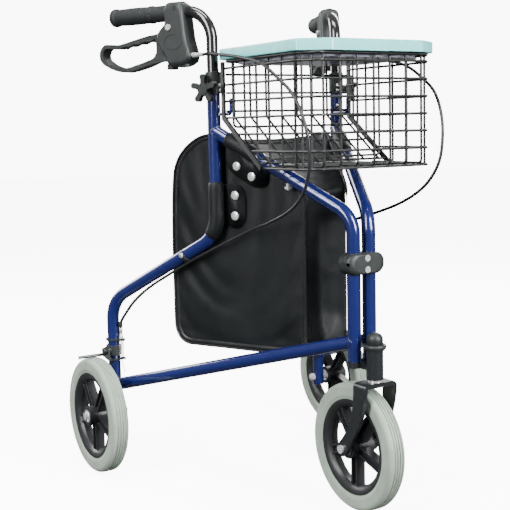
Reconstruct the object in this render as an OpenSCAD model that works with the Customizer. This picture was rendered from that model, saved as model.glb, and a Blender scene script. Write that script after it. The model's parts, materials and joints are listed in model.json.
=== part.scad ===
// Three wheel walking aid: two folding side frames on a swivelling front wheel,
// with sliding handles, loop brake levers, a wire basket with a tray, and a bag.
// Millimetres, +Z up, front wheel towards -Y, floor at Z = 0.

/* [Wheels] */
// Diameter of all three wheels
wheel_d = 200; // [190:1:210]
// Width of the tyres
tyre_w = 30; // [26:1:32]
// Radial depth of the tyres
tyre_depth = 25; // [20:1:30]
// Radial depth of the rim ring
rim_depth = 14; // [10:1:18]
// Half length of each hub barrel
hub_half = 20.5; // [19:0.5:24]
// Number of spokes, each with two ribs
spokes = 5; // [3:1:7]
// Diameter of the wheel axles
axle_d = 8; // [6:1:10]
// Distance between the front and rear axles, front to back
wheelbase = 414; // [390:1:440]
// Distance from a rear leg to the middle of its wheel
wheel_offset = 35.7; // [34:0.1:45]

/* [Frame tubes] */
// Outside diameter of the frame tubes
tube_d = 21; // [19:0.5:23]
// Wall of the frame tubes
tube_wall = 1.3; // [1:0.1:2]
// Angle of each side frame from straight back
splay = 25.6; // [24:0.1:27]
// Half the distance between the two front tubes
front_half_gap = 14.5; // [13:0.5:18]
// Distance of the front tubes ahead of the front axle
tube_lead = 13.4; // [8:0.1:18]
// Distance along a side frame from front tube to upright
upright_s = 247; // [235:1:260]
// Height of the upright's top end
upright_top_z = 676; // [660:1:690]
// Height where the strut line meets the front tube
strut_low_z = 458.5; // [450:0.5:470]
// Height where the strut line meets the upright
strut_high_z = 590; // [580:1:600]
// Height where the diagonal line meets the upright
diag_high_z = 422; // [410:1:435]
// Height where the diagonal line meets the leg
diag_low_z = 299; // [285:1:310]
// Height of the lower rail at the front tube
rail_front_z = 268.7; // [262:0.1:280]
// Height of the lower rail at the leg
rail_rear_z = 148; // [140:1:156]
// Bend radius of the frame tubes
bend_r = 55; // [40:1:70]

/* [Handles] */
// Height of the grips above the floor
grip_z = 781; // [770:1:800]
// Bend radius of the handle tubes
handle_bend_r = 48; // [40:1:55]
// Distance along a side frame to the end of the grip
grip_end_s = 446; // [438:1:456]
// Length of the rubber grips
grip_len = 116; // [110:1:120]
// Radius of the rubber grips
grip_r = 14; // [12.5:0.5:15]
// How far the handles pull up
handle_travel = 120; // [60:5:130]

/* [Caster] */
// Distance of the swivel axis ahead of the front tubes
stem_lead = 31; // [29:0.5:36]
// Radius of the swivel sleeve
sleeve_r = 12.75; // [12:0.25:15]
// Radius of the fork stem
stem_r = 5; // [4:0.5:6]
// Gap between the front tyre and the fork crown
crown_gap = 4; // [3:0.5:8]
// Thickness of each fork blade
blade_t = 6; // [5:0.5:8]

/* [Basket and tray] */
// Half width of the basket at its wires
basket_half = 120; // [116:1:123]
// Depth of the basket from front to back
basket_depth = 226; // [215:1:235]
// Height of the basket from floor wires to top rim
basket_h = 164; // [155:1:175]
// Bend radius of the basket's rows at its slanted front corners
basket_corner_r = 12; // [8:1:12]
// Wire diameter
wire_d = 3; // [2.4:0.1:3.2]
// Height of the tray's upright lip
tray_h = 17; // [14:1:22]
// Wall of the tray
tray_wall = 3; // [2:0.5:4]

/* [Bag] */
// Height of the bag's floor
bag_floor_z = 236; // [232:1:245]
// Height of the bag's top at the front
bag_front_z = 488; // [470:1:495]
// Height of the bag's top at the back
bag_back_z = 584; // [570:1:590]

/* [Brakes] */
// Curls of each brake return spring
spring_turns = 9; // [6:1:10]
// Wire of the brake return springs
spring_wire = 1.2; // [1:0.1:1.4]
// Outside diameter of the brake cables
cable_d = 5; // [4:0.5:5]
// Gap between a brake shoe and its tyre
shoe_gap = 1.2; // [1:0.1:2]

/* [Clearances] */
// Radial clearance of turning and sliding fits
run_clear = 0.05; // [0.02:0.01:0.1]
// Radial clearance of parts fixed to each other
seat_clear = 0.02; // [0.01:0.01:0.05]
// Gap between moving parts that pass each other
part_gap = 0.4; // [0.3:0.1:0.6]

/* [Hidden] */
$fn = 48;
tube_r = tube_d / 2;
bore_r = tube_r - tube_wall;
axle_r = axle_d / 2;
wheel_r = wheel_d / 2;
wire_r = wire_d / 2;
front_axle_y = -wheelbase / 2;
rear_axle_y = wheelbase / 2;
front_tube_y = front_axle_y - tube_lead;
leg_s = (rear_axle_y - front_tube_y) / cos(splay);
leg_x = front_half_gap + leg_s * sin(splay);
upright_x = front_half_gap + upright_s * sin(splay);
upright_y = front_tube_y + upright_s * cos(splay);
wheel_x = leg_x + wheel_offset;
strut_slope = atan((strut_high_z - strut_low_z) / upright_s);
leg_bottom_z = wheel_r - 15;
bend_lap = 0.4;
bend_swell = 0.03;

// Wheels
rim_r = wheel_r - tyre_depth;
hub_r = 17;
bearing_r = 11;
bearing_w = 7;
bearing_bore_r = axle_r + run_clear;
rim_half = tyre_w / 2 - 2;
rib_t = 3.4;
rib_gap = 12;
rib_deep = 16;
rib_inset = 1.5;
tread_grooves = 4;
groove_w = 1.7;
groove_deep = 1.5;
shoulder_r = 8;
wheel_play = 0.3;

// Swivel stack, counted up from the front tyre
crown_t = 7;
crown_round = 9;
washer_t = 3;
crown_z = wheel_d + crown_gap;
washer_z = crown_z + crown_t;
sleeve_z = washer_z + washer_t;
sleeve_h = 45;
ring_h = 9;
ring_r = sleeve_r + 2.25;
cap_h = 15;
cap_r = 11.25;
plate_t = 9;
plate_z = sleeve_z + 14.5;
tube_bottom_z = plate_z + plate_t + part_gap;
spigot_h = 24;
stem_y = front_tube_y - stem_lead;
bush_r = stem_r + 3;
bush_h = 12;
blade_in = hub_half + 4.5;
blade_out = blade_in + blade_t;

// Upper clamp
clamp_z = 387.5;
clamp_h = 33;
clamp_half_y = 17;
clamp_end_r = tube_r + 10.5;
clamp_screw_r = 2.5;
clamp_screw_dz = 8.7;
clamp_split = 0.6;
clamp_round = 16;
clamp_hole_turn = 32.6;
clamp_hole_deep = 4.5;

// Handles and collars
handle_r = bore_r - run_clear;
handle_wall = 1.5;
handle_bottom_z = upright_top_z - handle_travel - 70;
collar_r = tube_r + 1.7;
collar_h = 34;
collar_lip = 7;
knob_z = upright_top_z - 20;
knob_stud_r = 3;
knob_boss_r = 7;
knob_boss_n = 20;
knob_t = 11;
knob_core_r = 9.5;
knob_arm_r = 4.8;
knob_arm_at = 18.5;
knob_arms = 5;

// Brake housing and lever, in the plane of a side frame
housing_half = 17;
lever_half = 5.5;
lever_loop_half = 11;
lever_loop_s = 356;
lever_slot_half = lever_half + 0.6;
slot_s = 308.5;
grip_neck = 30;
pivot_s = 320;
pivot_z = grip_z - 24;
pivot_r = 3;
band_r = 17;
band_from_s = 300;
band_to_s = grip_end_s - grip_len - 1;
adjuster_n = 8;
adjuster_z = grip_z - 70;
adjuster_mouth_s = 259;
adjuster_root_s = 292;
adjuster_r = 4;

// Rear brake, set out from the leg with X and Y along the part's axes
shoe_r = 2.75;
shoe_y = 6;
shoe_z = wheel_d + shoe_gap + shoe_r;
shoe_reach = wheel_offset + 29;
arm_t = 3;
arm_in = tube_r + 4;
arm_pivot_y = -3;
arm_pivot_z = shoe_z + 8;
arm_pin_r = 3;
tab_top_z = shoe_z - 5;
tab_t = 3;
tab_y = [-20.5, -11.6];
spring_r = 3.9;
spring_ahead = 17;
spring_x = spring_ahead * sin(splay);
spring_y = -spring_ahead * cos(splay);
bracket_r = tube_r + 3.4;
bracket_z = [tab_top_z + 4, tab_top_z + 21];
stop_z = tab_top_z + 30;
stop_t = 3;
barrel_r = 3.4;
barrel_h = 19;
spring_bottom_z = tab_top_z + part_gap;
spring_top_z = stop_z - part_gap;

// Fold brace over the struts
brace_s = 112;
brace_x = front_half_gap + brace_s * sin(splay);
brace_y = front_tube_y + brace_s * cos(splay);
strut_top_at_brace = strut_low_z + brace_s * tan(strut_slope) + tube_r / cos(strut_slope);
link_t = 2.5;
link_gap = 0.4;
link_half_w = 6;
link_eye_r = 7;
link_z = strut_top_at_brace + link_eye_r * tan(strut_slope) + part_gap;
link_bolt_r = 3;
brace_centre_back = 6;
link_len = norm([brace_x, brace_centre_back]);

// Basket: rows outside, crossing wires laid inside them
wire_touch = wire_d + seat_clear;
basket_back_y = upright_y - 33.8;
basket_front_y = basket_back_y - basket_depth;
basket_floor_z = link_z - 1.5;
basket_rim_z = basket_floor_z + basket_h;
rim_wire_r = 2;
row_count = 7;
row_pitch = (basket_h - 10) / (row_count - 1);
fold_z = basket_floor_z + 77;
hang_z = basket_floor_z + 87.5;
foot_y = brace_y - 18.7;
slant_slope = (fold_z - basket_floor_z) / (basket_back_y - foot_y);
rear_rows = [hang_z, hang_z + 28.5, hang_z + 57];
long_pitch = basket_half / 4;
rest_wire_y = brace_y - link_eye_r - part_gap - wire_r;
side_wires = 6;
side_front_y = basket_front_y + 34.5;
side_pitch = (basket_depth - 54.5) / (side_wires - 1);
wire_bend_r = 7;
corner_x = 22;
corner_y = 26;
corner_run = 6.2;
corner_wires = [0.2, 0.6];
side_end_y = basket_front_y + corner_y + corner_run;
front_end_x = basket_half - corner_x - corner_run;
rim_turn = basket_corner_r + 1;
weld_sink = 0.3;
bend_end = wire_bend_r + 1;
bar_t = 3;
bar_w = 8;
hook_r = 2.5;
hook_x = basket_half - 6;
hook_bend_r = 6;
hook_rise = 24;
hook_throat = 7.6;

// Tray
tray_clear = 1;
tray_over = 4;
tray_half = basket_half + rim_wire_r + tray_clear + tray_wall;
tray_cut_x = 43;
tray_cut_y = 27;
tray_plate_z = basket_rim_z + 2 * rim_wire_r - wire_r + 0.3;
tray_plate_t = 3;
well_gap = 3.5;
well_side = wire_touch + wire_r + well_gap;
well_floor_z = basket_rim_z - 2;
well_front_cut = 30;
well_back_cut = 20;

// Bag, inside the side frames
bag_inset = tube_r + 3.2;
bag_front_s = 92;
bag_back_s = 345;
bag_skin = 0.4;
strap_t = 1.5;
snap_r = 6;
snap_t = 2.4;
// Each snap: distance along the frame and height
snaps = [[212.5, 533], [184.5, 516.5], [217, 486], [218, 453]];

// Point beside a right side frame: along it, outwards and up
function beside_frame(s, n, z) = [-front_half_gap - s * sin(splay) - n * cos(splay),
  front_tube_y + s * cos(splay) - n * sin(splay), z];

// Right brake cable, hand-set along its route; the left one is its mirror image
cable_out = basket_half + 13;
cable_route = [beside_frame(adjuster_mouth_s - 1.3, adjuster_n, adjuster_z), [-cable_out, -11, 711],
  [-cable_out, -45, 707], [-cable_out - 2, -105, 699], [-cable_out - 3, -165, 686],
  [-cable_out - 2, -212, 660], [-cable_out + 1, -238, 640], [-cable_out + 5, -256, 610],
  [-cable_out + 9, -264, 575], [-cable_out + 13, -260, 535], [-114, -236, 500], [-106, -190, 472],
  [-98, -121, 449], [-95, -56, 431], beside_frame(upright_s - 5, 0, 405),
  beside_frame(upright_s + 56, 0, 376), beside_frame(upright_s + 98, 0, 353),
  beside_frame(leg_s - 85, 0, 328), beside_frame(leg_s - 51, 0, 302), beside_frame(leg_s - 28, 0, 276),
  beside_frame(leg_s - spring_ahead - 0.5, 0, 261), beside_frame(leg_s - spring_ahead, 0, 251.6)];
// Bare end of the right inner cable below its brake arm
tail_route = [beside_frame(leg_s - spring_ahead, 0, 249), beside_frame(leg_s - spring_ahead, 0, 196),
  beside_frame(leg_s - spring_ahead - 2, 0, 184), beside_frame(leg_s - spring_ahead - 6, 0, 174)];
tail_r = 0.8;
clip_s = 312;

frame_blue = "royalblue";
black = [0.09, 0.09, 0.1];
charcoal = [0.2, 0.21, 0.23];
tyre_grey = [0.66, 0.71, 0.69];
bright = [0.75, 0.76, 0.78];
aqua = [0.68, 0.86, 0.86];

// Placing helpers

// Everything is drawn for the right side; the left side is its mirror image
module on_left() {
  mirror([1, 0, 0]) children();
}

// Right side frame: X along the frame to the rear, Y outwards, Z up
module on_frame() {
  translate([-front_half_gap, front_tube_y, 0]) rotate([0, 0, 90 + splay]) children();
}

// Outline drawn in the plane of a side frame, X rearward and Y up, given a width
module frame_plate(half) {
  on_frame() rotate([90, 0, 0]) linear_extrude(2 * half, center = true) children();
}

// Rear leg, with X and Y along the part's axes
module at_leg() {
  translate([-leg_x, rear_axle_y, 0]) children();
}

// Round bar along X
module bar_x(r, x0, x1) {
  translate([x0, 0, 0]) rotate([0, 90, 0]) cylinder(r = r, h = x1 - x0);
}

// Round bar along the frame's outward normal, for use inside on_frame
module bar_out(r, n0, n1) {
  translate([0, n0, 0]) rotate([-90, 0, 0]) cylinder(r = r, h = n1 - n0);
}

module ring(ro, ri, h) {
  difference() {
    cylinder(r = ro, h = h);
    if (ri > 0) translate([0, 0, -1]) cylinder(r = ri, h = h + 2);
  }
}

function arc(c, r, a0, a1, n = 8) =
  [for (i = [0:n]) let (a = a0 + (a1 - a0) * i / n) [c[0] + r * cos(a), c[1] + r * sin(a)]];

// Bent round tube or wire along a flat path

function heading(p, i) = atan2(p[i + 1][1] - p[i][1], p[i + 1][0] - p[i][0]);
function turn(p, i) =
  let (d = heading(p, i) - heading(p, i - 1)) d > 180 ? d - 360 : (d < -180 ? d + 360 : d);
function cut_back(p, i, r) =
  i == 0 || i == len(p) - 1 ? 0 : r * tan(abs(turn(p, i)) / 2);

// Bends are a hair thicker than the straights, which run a little way into them
module bent_tube(p, r, ro, ri = 0) {
  for (i = [0:len(p) - 2]) {
    lap_in = i == 0 ? 0 : bend_lap;
    lap_out = i == len(p) - 2 ? 0 : bend_lap;
    from = cut_back(p, i, r) - lap_in;
    run = norm(p[i + 1] - p[i]) - from - cut_back(p, i + 1, r) + lap_out;
    translate(p[i]) rotate([0, 0, heading(p, i)]) translate([from, 0, 0]) rotate([0, 90, 0])
      ring(ro, ri, run);
  }
  for (i = [1:1:len(p) - 2]) {
    side = sign(turn(p, i));
    h = heading(p, i - 1);
    start = p[i] - cut_back(p, i, r) * [cos(h), sin(h)];
    middle = start + side * r * [-sin(h), cos(h)];
    translate(middle) rotate([0, 0, side > 0 ? h - 90 : heading(p, i) + 90])
      rotate_extrude(angle = abs(turn(p, i))) translate([r, 0]) difference() {
        circle(r = ro + bend_swell);
        if (ri > 0) circle(r = ri - bend_swell);
      }
  }
}

// Round tube swept along points in space

function spline(p, i, t) =
  let (a = p[max(i - 1, 0)], b = p[i], c = p[i + 1], d = p[min(i + 2, len(p) - 1)])
  0.5 * (2 * b + (c - a) * t + (2 * a - 5 * b + 4 * c - d) * t * t
    + (3 * b - a - 3 * c + d) * t * t * t);
function smooth(p, steps) =
  concat([for (i = [0:len(p) - 2]) for (k = [0:steps - 1]) spline(p, i, k / steps)],
    [p[len(p) - 1]]);
function unit(v) = v / norm(v);
function tangent(p, i) = unit(p[min(i + 1, len(p) - 1)] - p[max(i - 1, 0)]);

module swept_tube(p, r, sides, up = [1, 0, 0.2]) {
  rings = [for (i = [0:len(p) - 1])
    let (t = tangent(p, i), u = unit(cross(t, up)), v = cross(t, u))
    for (k = [0:sides - 1])
      let (a = 360 * k / sides) p[i] + r * (cos(a) * u + sin(a) * v)];
  last = (len(p) - 1) * sides;
  walls = [for (i = [0:len(p) - 2]) for (k = [0:sides - 1])
    let (a = i * sides + k, b = i * sides + (k + 1) % sides)
    each [[a, b, b + sides], [a, b + sides, a + sides]]];
  caps = [for (k = [1:sides - 2]) each [[0, k + 1, k], [last, last + k, last + k + 1]]];
  polyhedron(rings, [for (f = concat(walls, caps)) [f[0], f[2], f[1]]]);
}

// Wheels, drawn about the X axis

module tyre_profile() {
  r0 = rim_r + seat_clear;
  half = tyre_w / 2;
  pitch = (tyre_w - 2 * shoulder_r) / (tread_grooves - 1);
  difference() {
    polygon(concat([[r0, -rim_half]], [[r0 + 6, -half]],
      arc([wheel_r - shoulder_r, -half + shoulder_r], shoulder_r, -90, 0, 6),
      arc([wheel_r - shoulder_r, half - shoulder_r], shoulder_r, 0, 90, 6),
      [[r0 + 6, half]], [[r0, rim_half]]));
    for (i = [0:tread_grooves - 1])
      translate([wheel_r - groove_deep, -half + shoulder_r + i * pitch - groove_w / 2])
        square([groove_deep + 1, groove_w]);
  }
}

module wheel_tyre() {
  color(tyre_grey) rotate([0, 90, 0]) rotate_extrude($fn = 96) tyre_profile();
}

module rim_profile() {
  inner = rim_r - rim_depth;
  polygon([[inner, -5], [inner + 4, -rim_half + 3], [rim_r - 4, -rim_half], [rim_r, -rim_half],
    [rim_r, rim_half], [rim_r - 4, rim_half], [inner + 4, rim_half - 3], [inner, 5]]);
}

module wheel_hub() {
  rib_from = sqrt(pow(hub_r, 2) - pow(rib_gap / 2 + rib_t / 2, 2)) - 1;
  rib_to = rim_r - rim_depth + 1;
  color(black) rotate([0, 90, 0]) difference() {
    union() {
      rotate_extrude($fn = 96) rim_profile();
      translate([0, 0, -hub_half]) cylinder(r = hub_r, h = 2 * hub_half);
      for (i = [0:spokes - 1]) rotate([0, 0, i * 360 / spokes]) {
        for (side = [-1, 1])
          translate([rib_from, side * rib_gap / 2 - rib_t / 2, -rib_deep / 2])
            cube([rib_to - rib_from, rib_t, rib_deep]);
        translate([rib_from, -rib_gap / 2, -rib_inset])
          cube([rib_to - rib_from, rib_gap, 2 * rib_inset]);
      }
    }
    translate([0, 0, -hub_half - 1]) cylinder(r = axle_r + 2, h = 2 * hub_half + 2);
    for (side = [-1, 1])
      translate([0, 0, side * (hub_half - bearing_w / 2 + 0.5)])
        cylinder(r = bearing_r + seat_clear, h = bearing_w + 1, center = true);
  }
}

module wheel_bearings() {
  color(bright) for (side = [-1, 1])
    rotate([0, 90, 0]) translate([0, 0, side > 0 ? hub_half - bearing_w : -hub_half]) difference() {
      ring(bearing_r, bearing_bore_r, bearing_w);
      for (end = [-1, bearing_w - 1])
        translate([0, 0, end]) ring(bearing_r - 2, bearing_bore_r + 2, 2);
    }
}

// Wheel axle bolt with its head towards -X and its nut at the other end
module axle_bolt(head_x, nut_x) {
  bar_x(axle_r, head_x, nut_x + 8);
  bar_x(axle_r + 2.5, head_x - 4, head_x);
  translate([nut_x, 0, 0]) rotate([0, 90, 0]) cylinder(r = axle_r + 3.5, h = 6, $fn = 6);
}

module at_front_axle() {
  translate([0, front_axle_y, wheel_r]) children();
}

module at_rear_axle() {
  translate([-wheel_x, rear_axle_y, wheel_r]) children();
}

module front_hub() {
  at_front_axle() wheel_hub();
}

module front_tyre() {
  at_front_axle() wheel_tyre();
}

module front_bearings() {
  at_front_axle() wheel_bearings();
}

module front_axle() {
  color(bright) at_front_axle() {
    axle_bolt(-blade_out, blade_out);
    for (side = [-1, 1])
      rotate([0, 90, 0]) translate([0, 0, side > 0 ? hub_half + wheel_play : -blade_in])
        ring(axle_r + 3, axle_r, blade_in - hub_half - wheel_play);
  }
}

module right_hub() {
  at_rear_axle() wheel_hub();
}

module right_tyre() {
  at_rear_axle() wheel_tyre();
}

module right_bearings() {
  at_rear_axle() wheel_bearings();
}

// Caster: bracket under the front tubes, swivel sleeve, stem and fork

module front_tubes_at(z) {
  for (side = [-1, 1]) translate([side * front_half_gap, front_tube_y, z]) children();
}

module caster_bracket() {
  neck_half = sleeve_r - 1;
  color(black) difference() {
    union() {
      front_tubes_at(plate_z) {
        cylinder(r = tube_r + 1, h = plate_t);
        cylinder(r = bore_r - run_clear, h = plate_t + part_gap + spigot_h);
      }
      translate([-front_half_gap, front_tube_y - tube_r - 1, plate_z])
        cube([2 * front_half_gap, 2 * tube_r + 2, plate_t]);
      translate([-neck_half, stem_y, plate_z]) cube([2 * neck_half, stem_lead, plate_t]);
      translate([0, stem_y, sleeve_z]) cylinder(r = sleeve_r, h = sleeve_h);
      translate([0, stem_y, sleeve_z + sleeve_h]) cylinder(r = ring_r, h = ring_h);
    }
    translate([0, stem_y, sleeve_z - 1]) {
      cylinder(r = stem_r + 2, h = sleeve_h + ring_h + 2);
      cylinder(r = bush_r + seat_clear, h = bush_h + 1);
    }
    translate([0, stem_y, sleeve_z + sleeve_h + ring_h - bush_h])
      cylinder(r = bush_r + seat_clear, h = bush_h + 1);
  }
}

module stem_bearings() {
  color(charcoal) translate([0, stem_y, 0]) {
    translate([0, 0, sleeve_z]) ring(bush_r, stem_r + run_clear, bush_h);
    translate([0, 0, sleeve_z + sleeve_h + ring_h - bush_h])
      ring(bush_r, stem_r + run_clear, bush_h);
  }
}

module stem_cap() {
  top = sleeve_z + sleeve_h + ring_h;
  color(black) translate([0, stem_y, top]) rotate_extrude()
    difference() {
      polygon(concat([[0, 0], [cap_r, 0], [cap_r, cap_h * 0.45]],
        arc([cap_r - 5, cap_h * 0.45], 5, 0, 60, 5), [[0, cap_h]]));
      square([bush_r + 0.5, cap_h * 0.6]);
    }
}

// Stem with its retaining nut under the cap, and the washer under the sleeve
module fork_stem() {
  top = sleeve_z + sleeve_h + ring_h;
  color(bright) translate([0, stem_y, 0]) {
    translate([0, 0, washer_z]) cylinder(r = stem_r, h = top - washer_z + 7);
    translate([0, 0, washer_z]) ring(sleeve_r - 1.5, stem_r, washer_t - 0.3);
    translate([0, 0, top + 0.4]) cylinder(r = stem_r + 2.6, h = 5, $fn = 6);
  }
}

// One fork blade: down from the crown, then swept back to the axle
module fork_blade_outline() {
  back = front_axle_y - stem_y;
  eye = 11.5;
  rear_edge = [[13.8, 97], [14.4, 82], [16.9, 66.5], [21.9, 51.5], [29.8, 36], [39, 23]];
  front_edge = [[23, 12], [13, 26], [3, 42.5], [-5, 59.5], [-10.4, 78], [-13.4, 95]];
  polygon(concat([[-14.5, washer_z], [14, washer_z]], [for (p = rear_edge) [p[0], p[1] + wheel_r]],
    arc([back, wheel_r], eye, 35, -150, 10), [for (p = front_edge) [p[0], p[1] + wheel_r]]));
}

// Room that the fork keeps within: rounded top corners seen from the front
module fork_room() {
  half = blade_out - crown_round;
  deep = 2 * wheel_d;
  translate([-blade_out, -wheel_d, 0]) cube([2 * blade_out, deep, washer_z - crown_round]);
  translate([-half, -wheel_d, 0]) cube([2 * half, deep, washer_z]);
  for (side = [-1, 1]) translate([side * half, -wheel_d, washer_z - crown_round])
    rotate([-90, 0, 0]) cylinder(r = crown_round, h = deep);
}

module fork() {
  color(charcoal) difference() {
    translate([0, stem_y, 0]) intersection() {
      union() {
        for (side = [-1, 1]) translate([side * (blade_in + blade_t / 2), 0, 0])
          rotate([90, 0, 90]) linear_extrude(blade_t, center = true) fork_blade_outline();
        translate([-blade_in - 0.5, -14.5, crown_z]) cube([2 * blade_in + 1, 28.5, crown_t]);
      }
      fork_room();
    }
    translate([0, stem_y, crown_z - 1]) cylinder(r = stem_r - 0.5, h = crown_t + 2);
    at_front_axle() bar_x(axle_r + seat_clear, -blade_out - 1, blade_out + 1);
  }
}

// Upper clamp: two halves round both front tubes

module clamp_block() {
  front_tubes_at(clamp_z - clamp_h / 2) cylinder(r = clamp_end_r, h = clamp_h);
  translate([-front_half_gap, front_tube_y - clamp_end_r, clamp_z - clamp_h / 2])
    cube([2 * front_half_gap, 2 * clamp_end_r, clamp_h]);
}

// Room that the clamp keeps within: rounded ends seen from the front
module clamp_room() {
  half_x = front_half_gap + clamp_end_r - clamp_round;
  half_z = clamp_h / 2 - clamp_round;
  deep = 4 * clamp_end_r;
  translate([0, front_tube_y - deep / 2, clamp_z]) {
    translate([-half_x - clamp_round, 0, -half_z]) cube([2 * (half_x + clamp_round), deep, 2 * half_z]);
    translate([-half_x, 0, -clamp_h / 2]) cube([2 * half_x, deep, clamp_h]);
    for (x = [-1, 1]) for (z = [-1, 1]) translate([x * half_x, 0, z * half_z])
      rotate([-90, 0, 0]) cylinder(r = clamp_round, h = deep);
  }
}

module clamp_half(front) {
  big = 4 * clamp_end_r;
  keep_y = front ? front_tube_y - clamp_half_y : front_tube_y + clamp_split / 2;
  color(black) difference() {
    intersection() {
      clamp_block();
      clamp_room();
      translate([-big, keep_y, clamp_z - clamp_h])
        cube([2 * big, clamp_half_y - clamp_split / 2, 2 * clamp_h]);
    }
    front_tubes_at(clamp_z - clamp_h) cylinder(r = tube_r + run_clear, h = 2 * clamp_h);
    clamp_screw_places() rotate([90, 0, 0])
      cylinder(r = clamp_screw_r + seat_clear, h = big, center = true);
    clamp_screw_places() translate([0, -clamp_half_y - 1, 0]) rotate([-90, 0, 0])
      cylinder(r = 2 * clamp_screw_r + 0.1, h = 4);
    for (side = [0, 1]) mirror([side, 0, 0]) translate([-front_half_gap, front_tube_y, clamp_z])
      rotate([0, 0, clamp_hole_turn]) bar_x(3.2, -2 * clamp_end_r, clamp_hole_deep - clamp_end_r);
  }
}

module clamp_screw_places() {
  for (dz = [-1, 1]) translate([0, front_tube_y, clamp_z + dz * clamp_screw_dz]) children();
}

module upper_clamp_front() {
  clamp_half(true);
}

module upper_clamp_rear() {
  clamp_half(false);
}

module clamp_screws() {
  color(bright) clamp_screw_places() translate([0, -clamp_half_y + 3, 0]) rotate([-90, 0, 0]) {
    cylinder(r = clamp_screw_r, h = 2 * clamp_half_y - 4);
    translate([0, 0, -2.5]) difference() {
      cylinder(r = 2 * clamp_screw_r, h = 2.5);
      translate([0, 0, -1]) cylinder(r = 1.4, h = 2.5, $fn = 6);
    }
  }
}

// Side frame tubes

module upright_core(grow) {
  on_frame() translate([upright_s, 0, leg_bottom_z]) cylinder(r = tube_r + grow, h = upright_top_z);
}

module right_main_tube() {
  color(frame_blue) difference() {
    on_frame() rotate([90, 0, 0]) bent_tube([[upright_s, upright_top_z], [upright_s, diag_high_z],
      [leg_s, diag_low_z], [leg_s, leg_bottom_z]], bend_r, tube_r, bore_r);
    at_leg() translate([0, 0, wheel_r]) bar_x(axle_r + seat_clear, -2 * tube_r, 2 * tube_r);
    on_frame() translate([upright_s, 0, knob_z]) bar_out(knob_stud_r + 0.3, 0, 2 * tube_r);
  }
}

module right_front_tube() {
  color(frame_blue) difference() {
    on_frame() rotate([90, 0, 0]) bent_tube([[0, tube_bottom_z], [0, strut_low_z],
      [upright_s, strut_high_z]], bend_r - 10, tube_r, bore_r);
    on_frame() translate([upright_s, 0, strut_high_z - 60]) cylinder(r = tube_r + seat_clear, h = 120);
    on_frame() translate([brace_s, 0, strut_low_z]) cylinder(r = link_bolt_r + seat_clear, h = 200);
  }
}

module right_lower_rail() {
  color(frame_blue) difference() {
    on_frame() rotate([90, 0, 0])
      bent_tube([[0, rail_front_z], [leg_s, rail_rear_z]], bend_r, tube_r, bore_r);
    on_frame() for (s = [0, leg_s])
      translate([s, 0, wheel_r]) cylinder(r = tube_r + seat_clear, h = 250);
  }
}

module right_collar() {
  color(black) difference() {
    union() {
      on_frame() translate([upright_s, 0, upright_top_z + collar_lip - collar_h])
        cylinder(r = collar_r, h = collar_h);
      on_frame() translate([upright_s, 0, knob_z]) bar_out(knob_boss_r, 0, knob_boss_n);
    }
    upright_core(seat_clear);
    on_frame() translate([upright_s, 0, upright_top_z]) {
      translate([0, 0, -1]) cylinder(r = handle_r + run_clear, h = collar_h);
    }
    on_frame() translate([upright_s, 0, knob_z])
      bar_out(knob_stud_r + run_clear, 0, knob_boss_n + 1);
  }
}

// Clamp knob with five arms and a threaded stud towards the handle tube
module right_star_knob() {
  face = knob_boss_n + part_gap;
  half = knob_arm_r - 0.8;
  from = knob_core_r - 2.5;
  color(black) on_frame() translate([upright_s, 0, knob_z]) {
    bar_out(knob_core_r, face, face + knob_t);
    bar_out(knob_stud_r, handle_r + part_gap, face + 1);
    for (i = [0:knob_arms - 1]) rotate([0, i * 360 / knob_arms - 17, 0]) {
      translate([from, face + 1, -half]) cube([knob_arm_at - from, knob_t - 2, 2 * half]);
      translate([knob_arm_at, 0, 0]) bar_out(knob_arm_r, face + 1, face + knob_t - 1);
    }
  }
}

// Hook that holds the basket's lowest back wire
module right_basket_hook() {
  seat_z = hang_z - wire_r - 0.3 - hook_r;
  front_y = basket_back_y - wire_r - 3.4 - hook_r;
  color(frame_blue) difference() {
    translate([-hook_x, 0, 0]) rotate([90, 0, 90])
      bent_tube([[upright_y - 2, seat_z], [front_y, seat_z], [front_y, seat_z + hook_rise]],
        hook_bend_r, hook_r);
    upright_core(seat_clear);
  }
}

// Rear axle, brace bolt and bag snaps of one side; level counts the brace links up
module side_fasteners(level) {
  lift = level * (link_t + link_gap);
  link_top = link_z + lift + link_t;
  strut_low = strut_top_at_brace - 2 * tube_r / cos(strut_slope);
  nut_h = 4;
  color(bright) {
    at_leg() translate([0, 0, wheel_r]) {
      axle_bolt(-wheel_offset - hub_half - wheel_play, tube_r + 1.5);
      difference() {
        bar_x(axle_r + 3, -wheel_offset + hub_half + wheel_play, -tube_r + 3);
        bar_x(axle_r, -wheel_offset, 0);
        translate([0, 0, -wheel_r]) cylinder(r = tube_r + seat_clear, h = wheel_d);
      }
    }
    translate([-brace_x, brace_y, 0]) {
      translate([0, 0, strut_low - nut_h - 6])
        cylinder(r = link_bolt_r, h = link_top + 1 - strut_low + nut_h + 6);
      translate([0, 0, link_top + link_gap]) cylinder(r = link_bolt_r + 2.5, h = 2.2);
      translate([0, 0, strut_low - nut_h - 4]) cylinder(r = link_bolt_r + 3, h = nut_h, $fn = 6);
      difference() {
        translate([0, 0, strut_top_at_brace - 8])
          ring(link_bolt_r + 2.5, link_bolt_r - 0.5, link_z + lift - part_gap - strut_top_at_brace + 8);
        strut_core(seat_clear);
      }
    }
    on_frame() for (at = snaps) translate([at[0], 0, at[1]])
      bar_out(snap_r, -bag_inset + strap_t + 0.1, -bag_inset + strap_t + 0.1 + snap_t);
  }
}

module right_fasteners() {
  side_fasteners(0);
}

// Strut as a solid bar, in the place where translate([-brace_x, brace_y, 0]) put the caller
module strut_core(grow) {
  translate([brace_x, -brace_y, 0]) on_frame() translate([0, 0, strut_low_z])
    rotate([0, 90 - strut_slope, 0]) cylinder(r = tube_r + grow, h = 400);
}

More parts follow.
